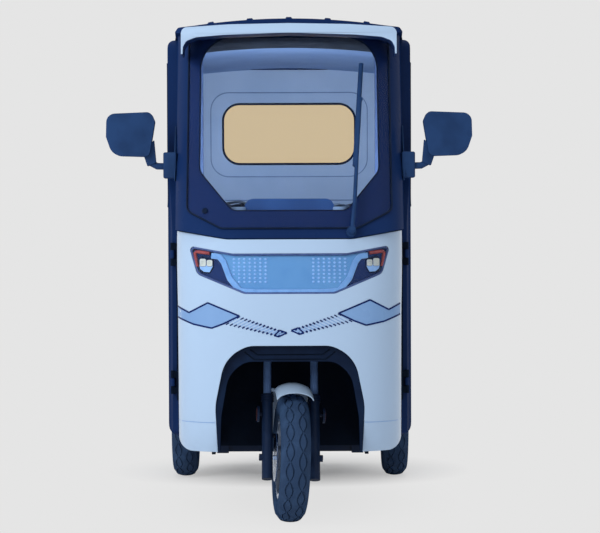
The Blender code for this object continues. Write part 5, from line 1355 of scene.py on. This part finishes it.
def ring_of(outer, inner):
    """A band between two outlines that have the same number of points, as four-cornered cells."""
    cells = []
    for i in range(len(outer)):
        j = (i + 1) % len(outer)
        cells.append([outer[i], outer[j], inner[j], inner[i]])
    return cells


def liner_z(x):
    return 1.6720 - 0.0135 * (x / 0.28) ** 2


def make_lining():
    """The pale lining on the rear wall's inside, with its raised lines, and the headliner."""
    window = outline_of(REAR_WINDOW)
    border = outline_of([(0.405, 1.670, 0.03), (0.405, 0.430, 0.02)])
    cells = ring_of(resampled(border, LINING_CELLS), resampled(window, LINING_CELLS))
    put(film("rear_lining", cells, rear_inner, 0.004, 0.0015, 0.06), "lining", "white_panel")
    frame_line = outline_of([(0.328, 1.565, 0.075), (0.328, 1.214, 0.075)])
    belt = [rear_inner(x, 1.115, LINE_LIFT) for x in spread(-0.39, 0.39, 24)]
    lines = [ring("line", frame_line, 0.04, lambda x, z: rear_inner(x, z, LINE_LIFT), 0.0022, 2)]
    lines.append(tube("line", belt, 0.0022, sides=2))
    put(joined("rear_lining_lines", lines), "lining_line", "black_plastic")
    seal = ring("rear_window_seal", window, 0.03, lambda x, z: rear_inner(x, z, 0.004), 0.005)
    put(seal, "trim", "black_plastic")
    front, back = [], []
    front_y, middle_y, back_y = HEADER_STARTS
    for y in spread(front_y, middle_y, 8):
        half = min(HEADER_HALF, 0.289 + max(0.0, y + 0.56) * 0.35)
        front.append([(x, y, liner_z(x)) for x in spread(half, -half, 16)])
    across = spread(HEADER_HALF, -HEADER_HALF, 16)
    middle = [[(x, y, liner_z(x)) for x in across] for y in (middle_y, back_y)]
    for t in spread(0, 1, 12):
        row = []
        for x in spread(0.416, -0.416, 32):
            end = min(HEADER_END, rear_inner(x, 1.65).y + 0.008)
            row.append((x, back_y + (end - back_y) * t, liner_z(x) - 0.008 * t * t))
        back.append(row)
    put(settle(sheet("header_panel", front, HEADER_THICK)), "mat", "black_plastic")
    pale = [settle(sheet("headliner", rows, HEADER_THICK)) for rows in (middle, back)]
    put(joined("headliner", pale), "header", "white_panel")


# Doors
def door_x(y):
    """How far out the door's skin stands at a place along the vehicle."""
    skin = (
        (DOOR_FRONT_Y, 0.0430),
        (DOOR_FRONT_Y + 0.065, 0.0575),
        (DOOR_FRONT_Y + 0.210, 0.0680),
        (DOOR_FRONT_Y + 0.390, 0.0775),
        (DOOR_FRONT_Y + 0.590, 0.0840),
        (DOOR_BACK_Y - 0.145, 0.0870),
        (DOOR_BACK_Y, 0.0870),
    )
    return FRAME_HALF + smooth_value(skin, y)


def make_doors():
    low, high = BELT_Z + 0.070, DOOR_TOP_Z - 0.080
    side_view = [
        (DOOR_FRONT_Y, DOOR_BOTTOM_Z, 0.03),
        (DOOR_FRONT_Y, PILLAR_BEND_Z, 0),
        (pillar_y(DOOR_TOP_Z, DOOR_FRONT_Y), DOOR_TOP_Z, 0.05),
        (DOOR_BACK_Y, DOOR_TOP_Z, 0.05),
        (DOOR_BACK_Y, DOOR_BOTTOM_Z, 0.05),
    ]
    window = [
        (pillar_y(low, DOOR_FRONT_Y) + 0.060, low, 0.04),
        (pillar_y(high, DOOR_FRONT_Y) + 0.060, high, 0.05),
        (DOOR_BACK_Y - 0.060, high, 0.05),
        (DOOR_BACK_Y - 0.060, low, 0.04),
    ]
    for word, side in SIDES:
        rings = []
        for y in spread(DOOR_FRONT_Y, DOOR_BACK_Y, 40):
            section = [
                (DOOR_INNER_X, DOOR_BOTTOM_Z, 0),
                (door_x(y), DOOR_BOTTOM_Z, DOOR_EDGE_ROUND),
                (door_x(y), DOOR_TOP_Z, DOOR_EDGE_ROUND),
                (DOOR_INNER_X, DOOR_TOP_Z, 0),
            ]
            rings.append([(x, y, z) for x, z in filleted(sided(section, side))])
        door = trim(loft("skin", rings), side_cutter(filleted(side_view)))
        pieces = [cut(door, side_cutter(filleted(window)))]
        for z in HINGE_HEIGHTS:
            start, end = [(side * HINGE_X, HINGE_Y, z + reach) for reach in (-KNUCKLE_HALF, KNUCKLE_HALF)]
            pieces.append(rod("knuckle", start, end, KNUCKLE_RADIUS))
            pieces.append(box("leaf", (side * 0.397, -0.702, z - 0.011), (side * 0.403, -0.678, z + 0.011)))
        door = joined("door_skin_" + word, pieces)
        put(door, "black", "black_panel", "door_" + word, body="door_" + word, angle=30)
        make_door_fittings(word, side, window)


def make_door_fittings(word, side, window):
    def fit(obj, finish, slot):
        put(obj, finish, slot, body="door_" + word)

    def on_skin(y, z):
        return side * (door_x(y) - 0.0015), y, z

    fit(ring("door_seal_" + word, filleted(window), 0.04, on_skin, 0.0042), "trim", "black_plastic")
    recess = box("door_pull_" + word, (side * 0.4445, 0.065, 0.935), (side * 0.4488, 0.185, 0.985))
    fit(rounded(recess, 0.002, 2), "trim", "black_plastic")
    grip = [(0.4465, 0.075, 0.968), (0.4515, 0.085, 0.970), (0.4515, 0.150, 0.970), (0.4465, 0.160, 0.968)]
    fit(tube("door_grip_" + word, sided(grip, side), 0.0045), "black", "black_panel")
    lock = rod("door_lock_" + word, (side * 0.4470, 0.175, 0.950), (side * 0.4505, 0.175, 0.950), 0.0075)
    fit(lock, "chrome", "chrome")
    pull = [(0.3655, -0.30, 0.92), (0.3500, -0.29, 0.92), (0.3500, -0.16, 0.92), (0.3655, -0.15, 0.92)]
    fit(tube("door_inner_pull_" + word, sided(pull, side), 0.008), "plastic", "black_plastic")


# Wheels
def tyre_profile(deep):
    """The tyre's outline as (along, radius). The crown is lowered where the tread stands on it."""
    half, bead = TYRE_WIDTH / 2, RIM_FLANGE_HALF - RIM_FLANGE_THICK - SEAT_GAP
    outer = [
        (0.0, TYRE_RADIUS - deep),
        (half * 0.36, TYRE_RADIUS - 0.0018 - deep),
        (half * 0.56, TYRE_RADIUS - 0.0045 - deep),
        (half * 0.70, TYRE_RADIUS - 0.0083 - deep),
        (half * 0.84, TYRE_RADIUS - 0.0150 - deep),
        (half * 0.94, TYRE_RADIUS - 0.0240 - deep * 0.3),
        (half * 0.985, TYRE_RADIUS - 0.034),
        (half, TYRE_RADIUS - 0.045),
        (half * 0.97, TYRE_RADIUS - 0.058),
        (half * 0.90, RIM_FLANGE_RADIUS + 0.0075),
        (bead, RIM_FLANGE_RADIUS + 0.0025),
        (bead, RIM_SEAT_RADIUS),
    ]
    return outer[::-1] + [(-along, radius) for along, radius in outer[1:]]


def crown(along):
    """Radius of the tread's top at a place across the tyre."""
    # Rows are (share of the half width, drop below the tyre's radius)
    rows = ((0, 0), (0.30, 0.0012), (0.56, 0.0045), (0.72, 0.0090), (0.84, 0.0150), (0.94, 0.0240))
    half = TYRE_WIDTH / 2
    return smooth_value([(half * share, TYRE_RADIUS - drop) for share, drop in rows], abs(along))


def tread_block(shape, rows, all_round=False, low_far=False):
    """A block from rows of (along, angle) places. Its sides reach below the carcass."""
    top = []
    for row in rows:
        drops = [0.0] * (len(row) - 1) + [TREAD_DEPTH - 0.0003 if low_far else 0.0]
        places = [(a, crown(a) - drop, t) for (a, t), drop in zip(row, drops)]
        top.append([shape.verts.new((a, r * math.cos(t), r * math.sin(t))) for a, r, t in places])
    pairs = list(zip(top, top[1:] + top[:1] if all_round else top[1:]))
    for first, second in pairs:
        for i in range(len(first) - 1):
            shape.faces.new((first[i], first[i + 1], second[i + 1], second[i]))
    feet = []
    for row in top:
        ends = (row[0].co, row[-1].co)
        feet.append([shape.verts.new((co.x, co.y * TREAD_FOOT, co.z * TREAD_FOOT)) for co in ends])
    for (first, second), (low_first, low_second) in zip(pairs, zip(feet, feet[1:] + feet[:1])):
        for k in [0] if low_far else [0, -1]:
            shape.faces.new((first[k], second[k], low_second[k], low_first[k]))
    if not all_round:
        for row, foot in ((top[0], feet[0]), (top[-1], feet[-1])):
            shape.faces.new((*row, foot[1], foot[0]))


def tread(name):
    """A smooth centre band and a chain of pointed blocks on each side, with thin wavy grooves."""
    shape = bmesh.new()
    pitch = 2 * math.pi / TREAD_COUNT

    def near(u):
        return TREAD_LINE - 0.0120 * math.sin(math.pi * (u % 1.0))

    def far(u):
        return TREAD_LINE + 0.0125 * math.sin(math.pi * (u % 1.0))

    centre = []
    for i in range(TREAD_COUNT * 6):
        u = i / 6
        left, right = near(u) - TREAD_GAP, near(u + 0.5) - TREAD_GAP
        centre.append([(-left, u * pitch), (0.0, u * pitch), (right, u * pitch)])
    tread_block(shape, centre, all_round=True)
    for side, shift in ((-1, 0.0), (1, 0.5)):
        for i in range(TREAD_COUNT):
            rows = []
            for u in (0.04, 0.22, 0.42, 0.62, 0.82, 0.96):
                angle = (i - shift + u + 0.06 * math.sin(math.pi * u)) * pitch
                width = max(far(u) - near(u) - 2 * TREAD_GAP, 0.0006)
                start = (far(u) + near(u) - width) / 2
                rows.append([(side * start, angle), (side * (start + width), angle)])
            tread_block(shape, rows)
            rows = []
            for u in (0.07, 0.29, 0.50, 0.72, 0.93):
                angle = (i - shift + u) * pitch
                rows.append([(side * (far(u) + TREAD_GAP), angle), (side * TREAD_EDGE, angle + 0.22 * pitch)])
            tread_block(shape, rows, low_far=True)
    bmesh.ops.recalc_face_normals(shape, faces=shape.faces)
    return made_of(shape, name)


def wheel_profile(bore, front_end, back):
    flange, inner = RIM_FLANGE_HALF, RIM_FLANGE_HALF - RIM_FLANGE_THICK
    seat = RIM_SEAT_RADIUS - SEAT_GAP
    high, low = SPOKE_DISC_AT + SPOKE_DISC_THICK / 2, SPOKE_DISC_AT - SPOKE_DISC_THICK / 2
    return [
        (front_end, bore),
        (front_end, HUB_RADIUS - 0.002),
        (front_end - 0.002, HUB_RADIUS),
        (high, HUB_RADIUS),
        (high, RIM_INNER_RADIUS - 0.003),
        (high + 0.003, RIM_INNER_RADIUS),
        (flange - 0.001, RIM_INNER_RADIUS + 0.005),
        (flange, RIM_INNER_RADIUS + 0.006),
        (flange, RIM_FLANGE_RADIUS - 0.0015),
        (flange - 0.0015, RIM_FLANGE_RADIUS),
        (inner, RIM_FLANGE_RADIUS),
        (inner, seat),
        (-inner, seat),
        (-inner, RIM_FLANGE_RADIUS),
        (-flange, RIM_FLANGE_RADIUS),
        (-flange, RIM_INNER_RADIUS + 0.005),
        (low, RIM_INNER_RADIUS),
        (low, back[0][1]),
        *back,
        (back[-1][0], bore),
    ]


def spoke_windows():
    inner, outer = HUB_RADIUS + 0.014, RIM_INNER_RADIUS - 0.008
    pitch = 2 * math.pi / SPOKES
    reach = (pitch - SPOKE_ANGLE) / 2
    windows = []
    for i in range(SPOKES):
        middle = pitch * i
        far = [(outer, t) for t in spread(middle - reach, middle + reach, 16)]
        near = [(inner, t) for t in spread(middle + reach * 0.55, middle - reach * 0.55, 8)]
        windows.append([(r * math.cos(t), r * math.sin(t)) for r, t in far + near])
    return windows


def make_wheel(name, place, side, bore, front_end, back):
    tyre = turned(name + "_carcass", tyre_profile(TREAD_DEPTH), 60)
    tyre = placed(joined(name + "_road_tyre", [tyre, tread(name + "_tread")]), place)
    put(tyre, "rubber", "tyre_rubber", name + "_tyre", body=name, angle=40)
    profile = wheel_profile(bore, front_end, back)
    if side < 0:
        profile = flipped(profile)
    low, high = SPOKE_DISC_AT - SPOKE_DISC_THICK / 2 - 0.001, SPOKE_DISC_AT + SPOKE_DISC_THICK / 2 + 0.005
    windows = prism("windows", spoke_windows(), "X", side * low, side * high)
    rim = placed(cut(turned(name + "_cast_rim", profile), windows), place)
    put(rim, "alloy", "cast_alloy", name + "_rim", body=name, angle=30)
    lips = []
    low, high = RIM_INNER_RADIUS + 0.008, RIM_FLANGE_RADIUS - 0.002
    for at in (RIM_FLANGE_HALF, -RIM_FLANGE_HALF - LIP_THICK):
        lips.append(turned("lip", [(at, low), (at + LIP_THICK, low), (at + LIP_THICK, high), (at, high)]))
    put(placed(joined(name + "_rim_lips", lips), place), "chrome", "chrome", body=name, angle=30)
    # The valve and four nuts
    fasteners = [rod("valve", (side * 0.030, 0, 0.104), (side * 0.047, 0, 0.098), 0.0035, 16)]
    for i in range(4):
        angle = math.pi / 4 + i * math.pi / 2
        y, z, start = 0.020 * math.cos(angle), 0.020 * math.sin(angle), side * (front_end - 0.0005)
        fasteners.append(rod("nut", (start, y, z), (start + side * 0.004, y, z), 0.0040, 6))
    put(placed(joined(name + "_fasteners", fasteners), place), "chrome", "chrome", body=name)


def make_wheels():
    for word, side in SIDES:
        place = Matrix.Translation((side * TRACK / 2, REAR_AXLE_Y, TYRE_RADIUS))
        make_wheel("rear_wheel_" + word, place, side, 0.0125, SPOKE_DISC_AT + 0.020, [(-0.042, 0.080)])
    holder = -0.053 + 0.002 + SEAT_GAP
    back = [(holder, 0.040), (holder, HUB_RADIUS), (-0.0555, HUB_RADIUS)]
    make_wheel("front_wheel", FORK_PLACE, 1, 0.0085, 0.0555, back)


# Steering
def steer(obj, place, finish, slot, *nodes, angle=32):
    put(placed(obj, place), finish, slot, *nodes, body="steering", angle=angle)


def make_fork():
    """The fork's reflectors and bands, and the fender with finer steps than the CAD."""
    for word, side in SIDES:
        x, y = side * LEG_SPREAD, -FORK_OFFSET
        start, end = x + side * (LEG_RADIUS + 0.0172), x + side * (LEG_RADIUS + 0.0185)
        disc = rounded(rod("reflector_" + word, (start, y, 0.150), (end, y, 0.150), 0.0225), 0.0005, 2)
        steer(disc, STEER_PLACE, "reflector", "black_plastic")
        bands = []
        for z in (0.196, 0.205, 0.213):
            loop = [(a, b, z) for a, b in circle(x, y, 0.0212, 32)]
            bands.append(tube("band", loop, 0.0012, True, 2))
        steer(joined("fork_bands_" + word, bands), STEER_PLACE, "trim", "black_plastic")
    # Half of the fender's section as (across, radius)
    half = [(0.0, 0.253), (0.011, 0.2526), (0.020, 0.2512), (0.028, 0.2491), (0.036, 0.2467), (0.042, 0.2441)]
    half += [(0.048, 0.2410), (0.0525, 0.2375), (0.0565, 0.2335), (0.0597, 0.2290), (0.0622, 0.2240)]
    section = half[::-1] + [(-a, r) for a, r in half[1:]]
    rows = []
    for angle in spread(math.radians(-75), math.radians(46), 48):
        rows.append([(a, -r * math.sin(angle), r * math.cos(angle)) for a, r in section])
    fender = sheet("skin", rows, 0.003)
    if fender.data.polygons[0].normal.z < 0:
        fender.data.flip_normals()
    pieces = [settle(fender)]
    for _, side in SIDES:
        start, end = (side * 0.057, 0, 0.236), (side * (LEG_SPREAD - 0.0138), 0, 0.236)
        pieces.append(rod("lug", start, end, 0.007))
    steer(joined("fender_skin", pieces), FORK_PLACE, "white", "white_panel", "front_fender", angle=40)


# Seats
def make_seats():
    """Each seat part as a padded piece: crowned, with two sewn channels across it."""
    # Seat parts as (node, channels as shares of the length)
    seats = (
        ("driver_cushion", (0.30, 0.62)),
        ("bench_cushion", (0.33, 0.66)),
        ("driver_backrest", (0.35, 0.68)),
        ("bench_backrest", (0.35, 0.68)),
    )
    for node, channels in seats:
        pad = padded_copy(node)
        swell(pad)
        sew(pad, node, channels)
        put(pad, "seat", "seat_cover", node, angle=60)


def padded_copy(node):
    """The CAD cushion as a fine even mesh, slightly smaller than the solid."""
    obj = new_object(node + "_pad", NODES[node].data.copy())
    weld(obj.data)
    low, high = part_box(node)
    centre, size = (low + high) / 2, high - low
    scale = Matrix.Diagonal([1 - 0.012 / s for s in size] + [1])
    obj.data.transform(Matrix.Translation(centre) @ scale @ Matrix.Translation(-centre))
    obj = rounded(obj, 0.012, 2, 40)
    remesh = obj.modifiers.new("even", "REMESH")
    remesh.mode = "VOXEL"
    remesh.voxel_size = 0.0075
    return settle(obj)


def swell(pad):
    """Puffs the pad up with a short pressure simulation, limited so that it stays in its place."""
    before = [v.co.copy() for v in pad.data.vertices]
    cloth = pad.modifiers.new("cloth", "CLOTH")
    cloth.settings.use_pressure = True
    cloth.settings.uniform_pressure_force = 4
    cloth.settings.effector_weights.gravity = 0
    scene = bpy.context.scene
    for number in range(1, SWELL_FRAMES + 1):
        scene.frame_set(number)
    mesh = evaluated(pad)
    pad.modifiers.remove(cloth)
    scene.frame_set(1)
    for vert, start, after in zip(pad.data.vertices, before, mesh.vertices):
        move = after.co - start
        if move.length > SWELL_LIMIT:
            move *= SWELL_LIMIT / move.length
        vert.co = start + move
    bpy.data.meshes.remove(mesh)


def channel(away, width):
    """The depth of a soft channel at this distance from its middle, as a share of its full depth."""
    return 0.5 + 0.5 * math.cos(math.pi * away / width)


def sew(pad, node, lines):
    """Presses sewn channels into the pad's faces, straight across it and near its sides."""
    low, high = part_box(node)
    size = high - low
    axis = 1 if size.y > size.z else 2
    length = size[axis]
    for vert in pad.data.vertices:
        along = (vert.co[axis] - low[axis]) / length
        for line in lines:
            away = abs(along - line) * length
            if away < CHANNEL_HALF:
                vert.co -= vert.normal * (CHANNEL_DEPTH * channel(away, CHANNEL_HALF))
        across = abs(vert.co.x) / (size.x / 2)
        if 0.70 < across < 0.78:
            depth = channel(across - SIDE_CHANNEL, SIDE_CHANNEL_HALF)
            vert.co -= vert.normal * SIDE_CHANNEL_DEPTH * depth


# Small parts
def make_small_parts():
    # Instrument screen and its bezel on the dash hump, towards the driver
    face_y = -0.750 + 0.0008
    view = [(-0.075, 1.000, 0.01), (0.075, 1.000, 0.01), (0.075, 1.070, 0.01), (-0.075, 1.070, 0.01)]
    bezel = ring("instrument_bezel", filleted(view), 0.02, lambda x, z: (x, face_y + 0.002, z), 0.0035)
    put(bezel, "trim", "black_plastic")
    view = [(-0.072, 1.003, 0.008), (0.072, 1.003, 0.008), (0.072, 1.067, 0.008), (-0.072, 1.067, 0.008)]
    screen = prism("instrument_screen", [filleted(view)], "Y", face_y, face_y + 0.0015)
    put(screen, "mirror", "glass")
    for word, side in SIDES:
        pod = rod("dash_pod_" + word, (side * 0.172, -0.835, 0.985), (side * 0.172, -0.835, 1.060), 0.025)
        put(rounded(pod, 0.004, 3), "lining", "black_plastic")
    route = [(0.150, 0.012, 0.925), (0.175, 0.000, 0.928), (0.240, 0.030, 0.925), (0.285, 0.060, 0.918)]
    for word, side in SIDES:
        lever = tube("brake_lever_" + word, sided(route, side), 0.0045)
        steer(lever, STEER_PLACE, "alloy", "cast_alloy")
    # Screws of the number plate holder
    places = [(x, z) for x in (-0.085, 0.085) for z in (0.53, 0.62)]
    screws = [rod("screw", (x, 1.0799, z), (x, 1.0825, z), 0.005, 16) for x, z in places]
    put(joined("plate_screws", screws), "chrome", "chrome")
    for word, side in SIDES:
        disc = rod("side_reflector_" + word, (side * 0.4495, 0.93, 0.50), (side * 0.4535, 0.93, 0.50), 0.026)
        put(rounded(disc, 0.0015, 2), "red", "red_lens")


def main():
    make_camera()
    make_world()
    make_floor()
    make_lamps()
    make_finishes()
    finish_cad_nodes()
    make_fascia()
    make_lamp_bar()
    make_decals()
    make_arch_details()
    make_windscreen()
    make_wiper()
    make_roof()
    make_visor()
    make_mirrors()
    make_rear_body()
    make_lining()
    make_doors()
    make_wheels()
    make_fork()
    make_seats()
    make_small_parts()


main()
